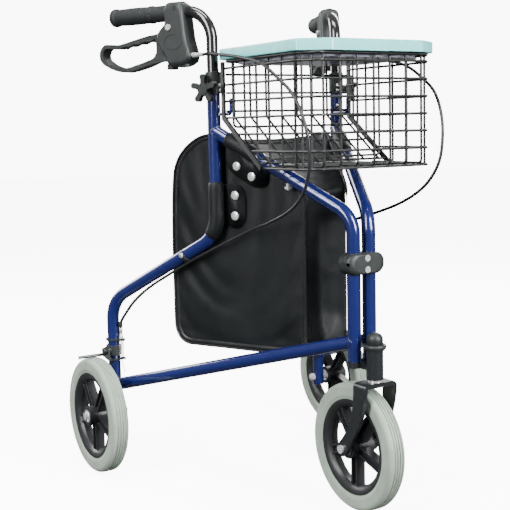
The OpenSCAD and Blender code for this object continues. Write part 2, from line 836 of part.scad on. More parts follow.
// Flat link of the fold brace; the two lie one above the other at the middle
module brace_link(level) {
  z = link_z + level * (link_t + link_gap);
  aim = atan2(brace_centre_back, brace_x);
  color(bright) translate([-brace_x, brace_y, z]) rotate([0, 0, aim]) difference() {
    union() {
      cylinder(r = link_eye_r, h = link_t);
      translate([0, -link_half_w, 0]) cube([link_len, 2 * link_half_w, link_t]);
      translate([link_len, 0, 0]) cylinder(r = link_half_w, h = link_t);
      translate([link_len, 0, level > 0 ? link_t : -2]) cylinder(r = 4, h = 2);
    }
    translate([0, 0, -1]) cylinder(r = link_bolt_r + run_clear, h = link_t + 2);
  }
}

module right_brace_link() {
  brace_link(0);
}

// Rear brake of one side

module right_brake_bracket() {
  color(black) at_leg() difference() {
    union() {
      translate([0, 0, bracket_z[0]]) cylinder(r = bracket_r, h = bracket_z[1] - bracket_z[0]);
      translate([0, arm_pivot_y, arm_pivot_z]) bar_x(6.5, -arm_in + part_gap, 0);
      translate([0, arm_pivot_y, arm_pivot_z]) bar_x(arm_pin_r, -arm_in - arm_t - 3, 0);
      translate([0, arm_pivot_y, arm_pivot_z])
        bar_x(arm_pin_r + 2.5, -arm_in - arm_t - 5, -arm_in - arm_t - part_gap);
      translate([0, 0, stop_z]) {
        cylinder(r = bracket_r, h = stop_t);
        translate([spring_x, spring_y, 0]) cylinder(r = 7, h = stop_t);
      }
    }
    cylinder(r = tube_r + seat_clear, h = 2 * stop_z);
    translate([spring_x, spring_y, stop_z - 1]) cylinder(r = 1.5, h = stop_t + 2);
    translate([spring_x, spring_y, bracket_z[0] - 1])
      cylinder(r = spring_r + spring_wire / 2 + part_gap, h = bracket_z[1] - bracket_z[0] + 2);
  }
}

module arm_outline() {
  polygon(concat(arc([arm_pivot_y, arm_pivot_z], 7, 150, 30, 6),
    arc([shoe_y, shoe_z], 5, 30, -90, 6),
    [[tab_y[1], tab_top_z - tab_t], [tab_y[0], tab_top_z - tab_t], [tab_y[0], tab_top_z]]));
}

module right_brake_arm() {
  color(charcoal) at_leg() difference() {
    union() {
      translate([-arm_in - arm_t, 0, 0]) rotate([90, 0, 90]) linear_extrude(arm_t) arm_outline();
      translate([-arm_in - arm_t / 2, tab_y[0], tab_top_z - tab_t])
        cube([arm_in + arm_t / 2 + spring_x + 6, tab_y[1] - tab_y[0], tab_t]);
      translate([0, shoe_y, shoe_z]) bar_x(shoe_r, -shoe_reach, -arm_in - arm_t / 2);
    }
    translate([0, arm_pivot_y, arm_pivot_z]) bar_x(arm_pin_r + run_clear, -shoe_reach, 0);
    translate([spring_x, spring_y, tab_top_z - 2 * tab_t]) cylinder(r = spring_r - 0.7, h = 4 * tab_t);
  }
}

// Brake return spring: one unbroken helix

function spring_point(t) =
  let (lead = (spring_top_z - spring_bottom_z - spring_wire) / spring_turns)
  [spring_r * cos(360 * t), spring_r * sin(360 * t), spring_bottom_z + spring_wire / 2 + lead * t];
spring_steps = 8;
spring_path = [for (i = [0:spring_turns * spring_steps]) spring_point(i / spring_steps)];
spring_gap = min([for (i = [0:len(spring_path) - spring_steps]) for (k = [-2:2])
  let (j = i + spring_steps + k)
  if (j < len(spring_path)) norm(spring_path[j] - spring_path[i])]) - spring_wire;
echo(brake_spring_least_gap = spring_gap);

module right_brake_spring() {
  color(bright) at_leg() translate([spring_x, spring_y, 0])
    swept_tube(spring_path, spring_wire / 2, 6, [0.01, 0, 1]);
}

module right_brake_cable() {
  color(black) swept_tube(smooth(cable_route, 2), cable_d / 2, 8);
}

// Barrel adjuster over the brake, inner cable tail, and the clip under the diagonal
module right_cable_fittings() {
  diag_tilt = atan((diag_high_z - diag_low_z) / (leg_s - upright_s));
  clip_z = diag_high_z - (clip_s - upright_s) * tan(diag_tilt);
  clip_w = 8;
  color(bright) {
    at_leg() translate([spring_x, spring_y, stop_z + stop_t]) {
      ring(barrel_r, tail_r + 0.3, 6);
      translate([0, 0, 6]) ring(barrel_r - 0.8, tail_r + 0.3, barrel_h - 6);
    }
    swept_tube(smooth(tail_route, 3), tail_r, 8);
    on_frame() translate([clip_s, 0, clip_z]) rotate([0, diag_tilt, 0]) {
      translate([0, tube_r + 1.7, 0]) bar_out(4, 0, 2.2);
    }
  }
  color(black) on_frame() translate([clip_s, 0, clip_z]) rotate([0, diag_tilt, 0]) {
    intersection() {
      translate([-clip_w / 2, 0, 0]) rotate([0, 90, 0]) ring(tube_r + 1.6, tube_r + seat_clear, clip_w);
      translate([-clip_w, cable_d / 2 + 0.1, -2 * tube_r]) cube([2 * clip_w, 2 * tube_r, 2 * tube_r + 5]);
    }
  }
}

// Handle, grip, brake housing and lever of one side

module right_handle_tube() {
  color(black) on_frame() rotate([90, 0, 0])
    bent_tube([[upright_s, handle_bottom_z], [upright_s, grip_z], [grip_end_s - 4, grip_z]],
      handle_bend_r, handle_r, handle_r - handle_wall);
}

// Rubber grip with a neck at the front, a ring, a soft belly and a closed end
module right_grip() {
  start = grip_end_s - grip_len;
  bore = handle_r + seat_clear;
  belly = grip_len - grip_neck - 20;
  color(charcoal) on_frame() translate([start, 0, grip_z]) rotate([0, 90, 0]) rotate_extrude()
    polygon(concat([[bore, 0], [grip_r - 0.8, 0], [grip_r - 0.8, grip_neck], [grip_r + 0.5, grip_neck + 2],
      [grip_r + 0.5, grip_neck + 6], [grip_r - 0.6, grip_neck + 8]],
      [for (i = [1:9]) [grip_r - 0.6 + 0.8 * sin(18 * i), grip_neck + 8 + belly * i / 10]],
      [[grip_r - 0.6, grip_len - 12], [grip_r + 1, grip_len - 9]],
      arc([grip_r - 3, grip_len - 4], 4, 0, 90, 4),
      [[0, grip_len], [0, grip_len - 3.9], [bore, grip_len - 3.9]]));
}

module housing_outline() {
  polygon([[band_to_s, grip_z + 7], [band_to_s - 5, grip_z + 15], [300, grip_z + 15],
    [293, grip_z + 6], [290, grip_z - 28], [288, grip_z - 45], [283, grip_z - 60],
    [280, grip_z - 74], [291, grip_z - 86], [311, grip_z - 88], [327, grip_z - 84],
    [331, grip_z - 69], [338, grip_z - 63], [342, grip_z - 55], [347, grip_z - 40],
    [347, grip_z - 33], [band_to_s, grip_z - 17]]);
}

// Outline drawn smaller about the middle of the housing
module housing_inset(factor) {
  middle = [312, grip_z - 38];
  translate(middle) scale(factor) translate(-middle) children();
}

module right_brake_housing() {
  color(black) difference() {
    union() {
      frame_plate(housing_half - 4) housing_outline();
      frame_plate(housing_half - 1.5) housing_inset(0.95) housing_outline();
      frame_plate(housing_half) housing_inset(0.88) housing_outline();
      on_frame() translate([band_from_s, 0, grip_z]) bar_x(band_r, 0, band_to_s - band_from_s);
    }
    on_frame() translate([0, 0, grip_z]) bar_x(handle_r + seat_clear, 280, 380);
    frame_plate(lever_slot_half) translate([slot_s, grip_z - 120]) square([80, 107]);
    on_frame() translate([pivot_s, 0, pivot_z])
      bar_out(pivot_r + seat_clear, -housing_half - 1, housing_half + 1);
    on_frame() translate([0, adjuster_n, adjuster_z]) bar_x(adjuster_r + 0.6, 265, 296);
  }
}

// Lever pivot screw and the cable adjuster at the front of the housing
module right_housing_fittings() {
  color(bright) {
    on_frame() translate([pivot_s, 0, pivot_z]) {
      bar_out(pivot_r, -housing_half - 1, housing_half + 0.3);
      bar_out(pivot_r + 2, housing_half + 0.3, housing_half + 2.5);
      bar_out(pivot_r + 2, -housing_half - 3, -housing_half - 0.3);
    }
    on_frame() translate([0, adjuster_n, adjuster_z]) {
      bar_x(adjuster_r - 1, adjuster_mouth_s, adjuster_root_s + 2);
      bar_x(adjuster_r, adjuster_mouth_s + 12, adjuster_mouth_s + 20);
    }
  }
}

// Loop lever: a wide hand loop with an arm that runs up into the housing to its pivot
lever_tip = [453.5, grip_z - 61];
module lever_outline() {
  polygon(concat(arc([pivot_s, pivot_z], 8, 200, 0, 8),
    [[348, grip_z - 31], [366, grip_z - 34], [426, grip_z - 45], [440, grip_z - 44.5]],
    arc(lever_tip, 18, 80, -60, 10), [[450, grip_z - 83], [433, grip_z - 89], [415, grip_z - 91],
    [386, grip_z - 86], [362, grip_z - 80], [346, grip_z - 77], [334, grip_z - 77], [326, grip_z - 60]]));
}

// Window of the loop; its upper edge has waves for the fingers
module lever_window() {
  waves = [for (i = [0:24]) let (t = i / 24)
    [355 + 82 * t, grip_z - 40.5 - 11 * t - 0.8 * (1 - cos(1440 * t))]];
  polygon(concat(waves, arc(lever_tip, 11, 80, -60, 8),
    [[446, grip_z - 78], [431, grip_z - 82.5], [414, grip_z - 84], [388, grip_z - 79],
    [370, grip_z - 74.5], [358, grip_z - 69], [354, grip_z - 60]]));
}

module lever_shape() {
  difference() {
    lever_outline();
    lever_window();
  }
}

module right_brake_lever() {
  color(black) difference() {
    union() {
      frame_plate(lever_half) lever_shape();
      frame_plate(lever_loop_half) intersection() {
        lever_shape();
        translate([lever_loop_s, grip_z - 120]) square([200, 120]);
      }
    }
    on_frame() translate([pivot_s, 0, pivot_z])
      bar_out(pivot_r + run_clear, -housing_half, housing_half);
  }
}

// Basket of bent wires with two flat bars at its back corners

function slant_z(y) = basket_floor_z + (y - foot_y) * slant_slope;
function floor_at(y) = y > foot_y ? slant_z(y) : basket_floor_z;
function row_z(i) = basket_floor_z + i * row_pitch;
function row_back(z) = z >= fold_z ? basket_back_y : foot_y + (z - basket_floor_z) / slant_slope;

// Every wire stops a hair short where it passes from one panel of the basket to the next.
// One wire of each panel is sunk into the wires that cross it
function touch_of(sunk) = sunk ? wire_d - weld_sink : wire_touch;

// Straight wire along Y
module wire_y(r, from, to) {
  translate([0, from, 0]) rotate([-90, 0, 0]) cylinder(r = r, h = to - from);
}

// Right front corner of a row or of the rim
module basket_corner(r) {
  bent_tube([[-basket_half, side_end_y - seat_clear], [-basket_half, basket_front_y + corner_y],
    [-basket_half + corner_x, basket_front_y], [-front_end_x - seat_clear, basket_front_y]],
    basket_corner_r, r);
}

module both_sides() {
  children();
  on_left() children();
}

// Row round the right side, the front and the left side
module basket_row(z) {
  translate([0, 0, z]) {
    both_sides() {
      translate([-basket_half, 0, 0]) wire_y(wire_r, side_end_y, row_back(z));
      basket_corner(wire_r);
    }
    translate([0, basket_front_y, 0]) bar_x(wire_r, -front_end_x, front_end_x);
  }
}

// Wire down the front, and its length along the floor
module basket_front_wire(x) {
  touch = touch_of(x == 0);
  front = basket_front_y + touch;
  low = basket_floor_z + touch;
  translate([x, 0, 0]) rotate([90, 0, 90])
    bent_tube([[front, basket_rim_z], [front, low], [front + bend_end, low]], wire_bend_r, wire_r);
  translate([x, 0, low]) wire_y(wire_r, front + bend_end + seat_clear, foot_y + 2);
}

// Wire up the slope, and its length up the back
module basket_back_wire(x, sunk) {
  slope = atan(slant_slope);
  rise = touch_of(sunk) / cos(slope);
  back = basket_back_y - touch_of(sunk);
  knee = [back, slant_z(back) + rise];
  along = [cos(slope), sin(slope)];
  from = foot_y + 4;
  translate([x, 0, 0]) rotate([90, 0, 90]) {
    bent_tube([[from, slant_z(from) + rise], knee - (bend_end + seat_clear) * along], wire_bend_r, wire_r);
    bent_tube([knee - bend_end * along, knee, [back, basket_rim_z]], wire_bend_r, wire_r);
  }
}

// Wire down one side, across and up the other side
module basket_cross_wire(y) {
  side = basket_half - wire_touch;
  across = side - bend_end - seat_clear;
  both_sides() translate([0, y, 0]) rotate([90, 0, 0]) bent_tube([[-side, basket_rim_z],
    [-side, floor_at(y)], [-side + bend_end, floor_at(y)]], wire_bend_r, wire_r);
  translate([0, y, floor_at(y)]) bar_x(wire_r, -across, across);
}

// Flat bar down the back corner and along the slope
module basket_bar() {
  slope = atan(slant_slope);
  lean = bar_w / 2 * tan(45 - slope / 2);
  translate([-basket_half - wire_r + weld_sink, 0, 0]) mirror([1, 0, 0]) rotate([90, 0, 90])
    linear_extrude(bar_t) polygon([[basket_back_y + bar_w / 2, basket_rim_z],
      [basket_back_y - bar_w / 2, basket_rim_z],
      [basket_back_y - bar_w / 2, fold_z + lean],
      [foot_y - bar_w / 2 * sin(slope), basket_floor_z + bar_w / 2 * cos(slope)],
      [foot_y + bar_w / 2 * sin(slope), basket_floor_z - bar_w / 2 * cos(slope)],
      [basket_back_y + bar_w / 2, fold_z - lean]]);
}

// Upright wire inside a slanted front corner, at a share of its length
module basket_corner_wire(share) {
  inward = [corner_y, corner_x] / norm([corner_x, corner_y]);
  at = [-basket_half + share * corner_x, basket_front_y + (1 - share) * corner_y] + wire_touch * inward;
  translate([at[0], at[1], basket_floor_z - wire_r + seat_clear])
    cylinder(r = wire_r, h = basket_h + wire_r - seat_clear);
}

// Heavier wire round the top, over the crossing wires
module rim_wire() {
  both_sides() {
    translate([-basket_half, 0, 0]) wire_y(rim_wire_r, side_end_y, basket_back_y - rim_turn - seat_clear);
    basket_corner(rim_wire_r);
    bent_tube([[-basket_half, basket_back_y - rim_turn], [-basket_half, basket_back_y],
      [-basket_half + rim_turn, basket_back_y]], basket_corner_r, rim_wire_r);
  }
  translate([0, basket_front_y, 0]) bar_x(rim_wire_r, -front_end_x, front_end_x);
  translate([0, basket_back_y, 0])
    bar_x(rim_wire_r, -basket_half + rim_turn + seat_clear, basket_half - rim_turn - seat_clear);
}

module basket() {
  slope = atan(slant_slope);
  rest_half = basket_half + wire_r - weld_sink - seat_clear;
  foot_half = basket_half - wire_r - seat_clear;
  color(black) {
    for (i = [0:row_count - 1]) basket_row(row_z(i));
    translate([0, 0, basket_rim_z + rim_wire_r - wire_r]) rim_wire();
    for (i = [-3:3]) basket_front_wire(i * long_pitch);
    for (i = [-4:3]) basket_back_wire((i + 0.5) * long_pitch, i == 0);
    for (k = [0:side_wires - 1]) basket_cross_wire(side_front_y + k * side_pitch);
    translate([0, foot_y, basket_floor_z + weld_sink]) bar_x(wire_r, -foot_half, foot_half);
    translate([0, rest_wire_y - weld_sink * sin(slope), slant_z(rest_wire_y) + weld_sink * cos(slope)])
      bar_x(wire_r, -rest_half, rest_half);
    for (z = rear_rows) translate([0, basket_back_y, z])
      bar_x(wire_r, -basket_half + wire_d, basket_half - wire_d);
    both_sides() {
      basket_bar();
      for (share = corner_wires) basket_corner_wire(share);
    }
  }
}

// Tray: a plate with a lip on the basket's rim, and a well that drops between the wires

module tray_outline(grow) {
  half = tray_half - tray_wall + grow;
  back = basket_back_y + rim_wire_r + tray_clear + grow;
  front = basket_front_y - rim_wire_r - tray_clear - tray_over - grow;
  cut_x = tray_cut_x + 0.6 * (grow - tray_wall);
  cut_y = tray_cut_y + 0.6 * (grow - tray_wall);
  polygon([[-half, back], [-half, front + cut_y], [-half + cut_x, front], [half - cut_x, front],
    [half, front + cut_y], [half, back]]);
}

module well_outline(grow) {
  half = basket_half - well_side + grow;
  back = basket_back_y - well_side + grow;
  front = basket_front_y + well_side - grow;
  a = well_front_cut + 0.6 * grow;
  b = well_back_cut + 0.6 * grow;
  polygon([[-half, back - b], [-half, front + a], [-half + a, front], [half - a, front],
    [half, front + a], [half, back - b], [half - b, back], [-half + b, back]]);
}

module tray() {
  well_foot_z = well_floor_z - tray_wall;
  color(aqua) difference() {
    union() {
      difference() {
        translate([0, 0, tray_plate_z]) linear_extrude(tray_h) tray_outline(tray_wall);
        translate([0, 0, tray_plate_z + tray_plate_t]) linear_extrude(tray_h) tray_outline(0);
      }
      translate([0, 0, well_foot_z]) linear_extrude(tray_plate_z + 1 - well_foot_z) well_outline(0);
    }
    translate([0, 0, well_floor_z]) linear_extrude(tray_h) well_outline(-tray_wall);
  }
}

// Soft bag between the side frames

module bag_plan() {
  edge = bag_inset + bag_skin;
  front = [front_half_gap + bag_front_s * sin(splay) - edge * cos(splay),
    front_tube_y + bag_front_s * cos(splay) + edge * sin(splay)];
  back = [front_half_gap + bag_back_s * sin(splay) - edge * cos(splay),
    front_tube_y + bag_back_s * cos(splay) + edge * sin(splay)];
  polygon([[-back[0], back[1]], [-front[0], front[1]], [front[0], front[1]], back]);
}

module bag_profile() {
  front = front_tube_y + bag_front_s * cos(splay);
  back = front_tube_y + bag_back_s * cos(splay) + 12;
  polygon(concat([[front - 20, bag_front_z - 6], [front - 20, bag_floor_z + 24]],
    arc([front + 12, bag_floor_z + 24], 24, 180, 270, 5),
    arc([back - 28, bag_floor_z + 28], 28, 270, 360, 5),
    arc([back - 50, bag_back_z - 60], 46, 0, 60, 5), [[back - 76, bag_back_z]]));
}

module bag() {
  color(black) intersection() {
    linear_extrude(2 * bag_back_z) bag_plan();
    rotate([90, 0, 90]) linear_extrude(800, center = true) bag_profile();
  }
}

// Bag straps of one side: a tab under the strut and a sleeve on the upright

module right_bag_straps() {
  ring_r_in = tube_r + seat_clear;
  ring_r_out = ring_r_in + strap_t;
  n0 = -bag_inset;
  tab_s = [163, 224];
  tab_foot_z = 508;
  sleeve_from = diag_high_z + 34;
  sleeve_to = 508;
  sleeve_tab_z = 440;
  color(black) on_frame() {
    difference() {
      union() {
        translate([0, 0, strut_low_z]) rotate([0, 90 - strut_slope, 0])
          translate([0, 0, tab_s[0] / cos(strut_slope) + 8])
            cylinder(r = ring_r_out, h = (tab_s[1] - tab_s[0]) / cos(strut_slope) - 20);
        translate([tab_s[0], n0, tab_foot_z]) cube([tab_s[1] - tab_s[0], strap_t, 46]);
      }
      translate([0, 0, strut_low_z]) rotate([0, 90 - strut_slope, 0])
        cylinder(r = ring_r_in, h = 400);
      translate([0, n0 - 1, strut_low_z]) rotate([0, -strut_slope, 0])
        translate([0, 0, 6]) cube([400, strap_t + 1.5, 100]);
    }
    difference() {
      union() {
        translate([upright_s, 0, sleeve_from]) cylinder(r = ring_r_out, h = sleeve_to - sleeve_from);
        translate([196, n0, sleeve_tab_z]) cube([upright_s - 196, strap_t, 58]);
      }
      translate([upright_s, 0, sleeve_from - 1]) cylinder(r = ring_r_in, h = 100);
    }
  }
}

// Left side: mirror images of the right side

module left_brace_link() {
  on_left() brace_link(1);
}

module left_fasteners() {
  on_left() side_fasteners(1);
}

upper_clamp_front();
upper_clamp_rear();
clamp_screws();
caster_bracket();
stem_cap();
stem_bearings();
bag();
fork();
fork_stem();
front_axle();
front_hub();
front_tyre();
front_bearings();
basket();
tray();
right_main_tube();
right_front_tube();
right_lower_rail();
right_collar();
right_brake_bracket();
right_brake_spring();
right_brake_cable();
right_cable_fittings();
right_basket_hook();
right_fasteners();
right_bag_straps();
right_hub();
right_tyre();
right_bearings();
right_handle_tube();
right_grip();
right_brake_housing();
right_housing_fittings();
right_brake_lever();
right_brake_arm();
right_star_knob();
right_brace_link();
on_left() right_main_tube();  // left_main_tube
on_left() right_front_tube();  // left_front_tube
on_left() right_lower_rail();  // left_lower_rail
on_left() right_collar();  // left_collar
on_left() right_brake_bracket();  // left_brake_bracket
on_left() right_brake_spring();  // left_brake_spring
on_left() right_brake_cable();  // left_brake_cable
on_left() right_cable_fittings();  // left_cable_fittings
on_left() right_basket_hook();  // left_basket_hook
left_fasteners();
on_left() right_bag_straps();  // left_bag_straps
on_left() right_hub();  // left_hub
on_left() right_tyre();  // left_tyre
on_left() right_bearings();  // left_bearings
on_left() right_handle_tube();  // left_handle_tube
on_left() right_grip();  // left_grip
on_left() right_brake_housing();  // left_brake_housing
on_left() right_housing_fittings();  // left_housing_fittings
on_left() right_brake_lever();  // left_brake_lever
on_left() right_brake_arm();  // left_brake_arm
on_left() right_star_knob();  // left_star_knob
left_brace_link();
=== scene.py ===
import json
import math

import bmesh
import bpy
import numpy as np
from mathutils import Matrix, Vector


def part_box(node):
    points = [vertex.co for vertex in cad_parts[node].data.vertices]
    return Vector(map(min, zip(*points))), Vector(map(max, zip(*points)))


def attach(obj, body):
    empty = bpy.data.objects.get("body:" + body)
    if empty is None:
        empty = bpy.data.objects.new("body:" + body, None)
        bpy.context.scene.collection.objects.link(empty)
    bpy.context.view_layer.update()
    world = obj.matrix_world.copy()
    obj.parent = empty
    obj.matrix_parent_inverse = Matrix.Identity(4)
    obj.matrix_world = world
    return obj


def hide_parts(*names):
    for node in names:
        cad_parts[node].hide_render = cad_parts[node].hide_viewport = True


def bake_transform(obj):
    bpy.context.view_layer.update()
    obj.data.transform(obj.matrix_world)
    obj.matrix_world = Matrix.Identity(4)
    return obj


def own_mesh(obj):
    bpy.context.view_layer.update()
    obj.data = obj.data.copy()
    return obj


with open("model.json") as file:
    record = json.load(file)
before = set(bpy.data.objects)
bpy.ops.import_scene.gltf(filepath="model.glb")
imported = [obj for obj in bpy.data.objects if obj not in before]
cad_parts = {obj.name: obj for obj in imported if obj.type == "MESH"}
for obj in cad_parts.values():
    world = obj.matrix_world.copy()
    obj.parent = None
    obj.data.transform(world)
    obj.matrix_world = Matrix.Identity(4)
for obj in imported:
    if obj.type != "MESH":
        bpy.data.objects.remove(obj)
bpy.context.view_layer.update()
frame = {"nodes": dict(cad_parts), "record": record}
NODES = frame["nodes"]
SCENE = bpy.context.scene
SIDES = (("right", -1), ("left", 1))
MM = 0.001

# Side frames: angle from straight back, and where their front tubes stand
SPLAY = math.radians(25.6)
SIN_SPLAY, COS_SPLAY = math.sin(SPLAY), math.cos(SPLAY)
FRONT_HALF_GAP, FRONT_TUBE_Y = 14.5, -220.4
UPRIGHT_S, LEG_S = 247.0, 473.9
TUBE_R = 10.5
BAG_INSET = TUBE_R + 3.2


def frame_point(s, n, z, side=-1):
    """Millimetres along a side frame, outwards and up, as a point in metres; side -1 is the right."""
    x = FRONT_HALF_GAP + s * SIN_SPLAY + n * COS_SPLAY
    y = FRONT_TUBE_Y + s * COS_SPLAY - n * SIN_SPLAY
    return Vector((side * x, y, z)) * MM


def frame_axes(side=-1):
    """Rearward, outward and up directions of a side frame."""
    return (Vector((side * SIN_SPLAY, COS_SPLAY, 0)), Vector((side * COS_SPLAY, -SIN_SPLAY, 0)),
            Vector((0, 0, 1)))


def mirrored(points, side):
    """Points given for the right side, in metres, for either side."""
    return [Vector((-p[0] if side > 0 else p[0], p[1], p[2])) for p in points]


# Camera at the photograph's place
CAMERA_AT = Vector((-0.9713, -1.4814, 0.5947))
CAMERA_RIGHT = Vector((0.84788, -0.52970, -0.02256))
CAMERA_UP = Vector((0.08268, 0.09006, 0.99250))
CAMERA_AHEAD = Vector((0.52370, 0.84339, -0.12015))
camera = bpy.data.objects.new("camera", bpy.data.cameras.new("camera"))
SCENE.collection.objects.link(camera)
camera.data.sensor_width = 36.0
camera.data.lens = 36.0 * 1057.87 / 510
camera.data.clip_end = 100
turn = Matrix((CAMERA_RIGHT, CAMERA_UP, -CAMERA_AHEAD)).transposed()
camera.matrix_world = Matrix.Translation(CAMERA_AT) @ turn.to_4x4()
SCENE.camera = camera


# Materials

class Shader:
    """A node material built up in steps; positions are the piece's own, in metres."""

    def __init__(self, name, color, rough, metallic=0.0, specular=0.5, coat=0.0, coat_rough=0.05, sheen=0.0):
        self.mat = bpy.data.materials.new(name)
        self.mat.use_nodes = True
        self.tree = self.mat.node_tree
        self.bsdf = self.tree.nodes["Principled BSDF"]
        put = self.bsdf.inputs
        put["Base Color"].default_value = (*color, 1)
        put["Roughness"].default_value = rough
        put["Metallic"].default_value = metallic
        put["Specular IOR Level"].default_value = specular
        put["Coat Weight"].default_value = coat
        put["Coat Roughness"].default_value = coat_rough
        put["Sheen Weight"].default_value = sheen
        self.color, self.rough = color, rough
        self.place = self.tree.nodes.new("ShaderNodeTexCoord").outputs["Object"]
        self.height = None
        self.tint = None

    def node(self, kind, **inputs):
        made = self.tree.nodes.new(kind)
        for key, value in inputs.items():
            made.inputs[key.replace("_", " ")].default_value = value
        return made

    def link(self, a, b):
        self.tree.links.new(a, b)

    def noise(self, scale, detail=3.0, rough=0.55, stretch=None):
        made = self.node("ShaderNodeTexNoise", Scale=scale, Detail=detail, Roughness=rough)
        source = self.place
        if stretch:
            mapping = self.node("ShaderNodeMapping")
            mapping.inputs["Scale"].default_value = stretch
            self.link(source, mapping.inputs["Vector"])
            source = mapping.outputs["Vector"]
        self.link(source, made.inputs["Vector"])
        return made.outputs["Fac"]

    def cells(self, scale):
        made = self.tree.nodes.new("ShaderNodeTexVoronoi")
        made.feature = "DISTANCE_TO_EDGE"
        made.inputs["Scale"].default_value = scale
        self.link(self.place, made.inputs["Vector"])
        return made.outputs["Distance"]

    def rise(self, low, high):
        """1 below the height low, 0 above the height high."""
        parts = self.tree.nodes.new("ShaderNodeSeparateXYZ")
        self.link(self.place, parts.inputs["Vector"])
        made = self.tree.nodes.new("ShaderNodeMapRange")
        for key, value in (("From Min", low), ("From Max", high), ("To Min", 1.0), ("To Max", 0.0)):
            made.inputs[key].default_value = value
        self.link(parts.outputs["Z"], made.inputs["Value"])
        return made.outputs["Result"]

    def ramp(self, source, low, high, a=0.35, b=0.65):
        made = self.tree.nodes.new("ShaderNodeValToRGB")
        made.color_ramp.elements[0].position = a
        made.color_ramp.elements[1].position = b
        made.color_ramp.elements[0].color = (*low, 1) if hasattr(low, "__len__") else (low, low, low, 1)
        made.color_ramp.elements[1].color = (*high, 1) if hasattr(high, "__len__") else (high, high, high, 1)
        self.link(source, made.inputs["Fac"])
        return made.outputs["Color"]

    def vary_color(self, source, amount=0.25, a=0.35, b=0.65):
        low = [c * (1 - amount) for c in self.color]
        high = [min(1.0, c * (1 + amount)) for c in self.color]
        self.tint = self.ramp(source, low, high, a, b)
        self.link(self.tint, self.bsdf.inputs["Base Color"])
        return self

    def mix_color(self, source, color, a, b, share=1.0):
        """Lays another colour over the first where source runs from a to b."""
        made = self.tree.nodes.new("ShaderNodeMix")
        made.data_type = "RGBA"
        self.link(self.ramp(source, 0.0, share, a, b), made.inputs["Factor"])
        if self.tint is None:
            made.inputs["A"].default_value = (*self.color, 1)
        else:
            self.link(self.tint, made.inputs["A"])
        made.inputs["B"].default_value = (*color, 1)
        self.tint = made.outputs["Result"]
        self.link(self.tint, self.bsdf.inputs["Base Color"])
        return self

    def vary_rough(self, source, amount=0.1, a=0.3, b=0.7):
        out = self.ramp(source, max(0.02, self.rough - amount), min(1.0, self.rough + amount), a, b)
        self.link(out, self.bsdf.inputs["Roughness"])
        return self

    def bump(self, source, distance, strength=1.0):
        made = self.node("ShaderNodeBump", Strength=strength, Distance=distance)
        self.link(source, made.inputs["Height"])
        if self.height is not None:
            self.link(self.height, made.inputs["Normal"])
        self.height = made.outputs["Normal"]
        self.link(self.height, self.bsdf.inputs["Normal"])
        return self


def paint(name, color, rough, coat, peel=0.00002):
    made = Shader(name, color, rough, specular=0.5, coat=coat, coat_rough=0.06)
    made.vary_color(made.noise(18, 3), 0.05)
    made.vary_rough(made.noise(40, 4), 0.04)
    made.bump(made.noise(260, 2), peel, 0.2)
    return made


def moulded(name, color, rough, grain=900, depth=0.00004, specular=0.45):
    made = Shader(name, color, rough, specular=specular)
    made.vary_color(made.noise(45, 5), 0.14)
    made.vary_rough(made.noise(30, 4), 0.08)
    made.bump(made.noise(grain, 3, 0.7), depth, 0.7)
    return made


blue_paint = paint("blue_paint", (0.0062, 0.0125, 0.108), 0.22, 1.0)
blue_paint.bsdf.inputs["Metallic"].default_value = 0.25
black_paint = paint("black_paint", (0.006, 0.006, 0.007), 0.18, 1.0)
dark_enamel = paint("dark_enamel", (0.0095, 0.0118, 0.0135), 0.30, 0.5, 0.00004)
wire_coat = paint("wire_coat", (0.0085, 0.0098, 0.0098), 0.40, 0.15, 0.00003)
black_plastic = moulded("black_plastic", (0.0155, 0.0192, 0.0188), 0.46)
wheel_plastic = moulded("wheel_plastic", (0.017, 0.018, 0.020), 0.40, 700, 0.00005)
rubber = moulded("rubber", (0.0130, 0.0150, 0.0165), 0.60, 1300, 0.00006, 0.32)
# Near-black for thin sheets laid on the brake housings: painted shade of their recesses and seam
recess_shade_black = moulded("recess_shade_black", (0.004, 0.004, 0.004), 0.60)
sheath = moulded("sheath", (0.014, 0.015, 0.016), 0.40, 1500, 0.00002)

tyre_grey = Shader("tyre_grey", (0.320, 0.382, 0.318), 0.66, specular=0.32)
tyre_grey.vary_color(tyre_grey.noise(28, 5), 0.10)
tyre_grey.mix_color(tyre_grey.noise(9, 6, 0.7), (0.24, 0.26, 0.24), 0.55, 0.78, 0.35)
tyre_grey.vary_rough(tyre_grey.noise(50, 3), 0.08)
tyre_grey.bump(tyre_grey.noise(1100, 3, 0.7), 0.00006, 0.7)

bright_steel = Shader("bright_steel", (0.86, 0.86, 0.86), 0.24, metallic=0.62)
bright_steel.vary_color(bright_steel.noise(70, 5), 0.10)
bright_steel.vary_rough(bright_steel.noise(120, 4, 0.6, (1, 1, 6)), 0.07)
bright_steel.bump(bright_steel.noise(900, 2), 0.000015, 0.5)

aqua_plastic = Shader("aqua_plastic", (0.215, 0.740, 0.720), 0.26, specular=0.5, coat=0.8, coat_rough=0.08)
aqua_plastic.vary_color(aqua_plastic.noise(12, 4), 0.06)
aqua_plastic.vary_rough(aqua_plastic.noise(40, 5), 0.07)
tray_low = NODES["tray"].matrix_world.translation.z
aqua_plastic.mix_color(aqua_plastic.rise(0.6980 - tray_low, 0.6996 - tray_low), (0.62, 0.63, 0.78), 0.4, 0.6)
aqua_plastic.bump(aqua_plastic.noise(700, 3), 0.00003, 0.6)

vinyl = Shader("bag_vinyl", (0.0042, 0.0056, 0.0066), 0.50, specular=0.25, sheen=0.01)
vinyl.vary_color(vinyl.noise(22, 5), 0.22)
vinyl.vary_rough(vinyl.noise(16, 4), 0.09)
vinyl.bump(vinyl.noise(30, 3), 0.0006, 0.25)
vinyl.bump(vinyl.cells(620), 0.00018, 0.6)
vinyl.bump(vinyl.noise(1500, 2), 0.00005, 0.5)

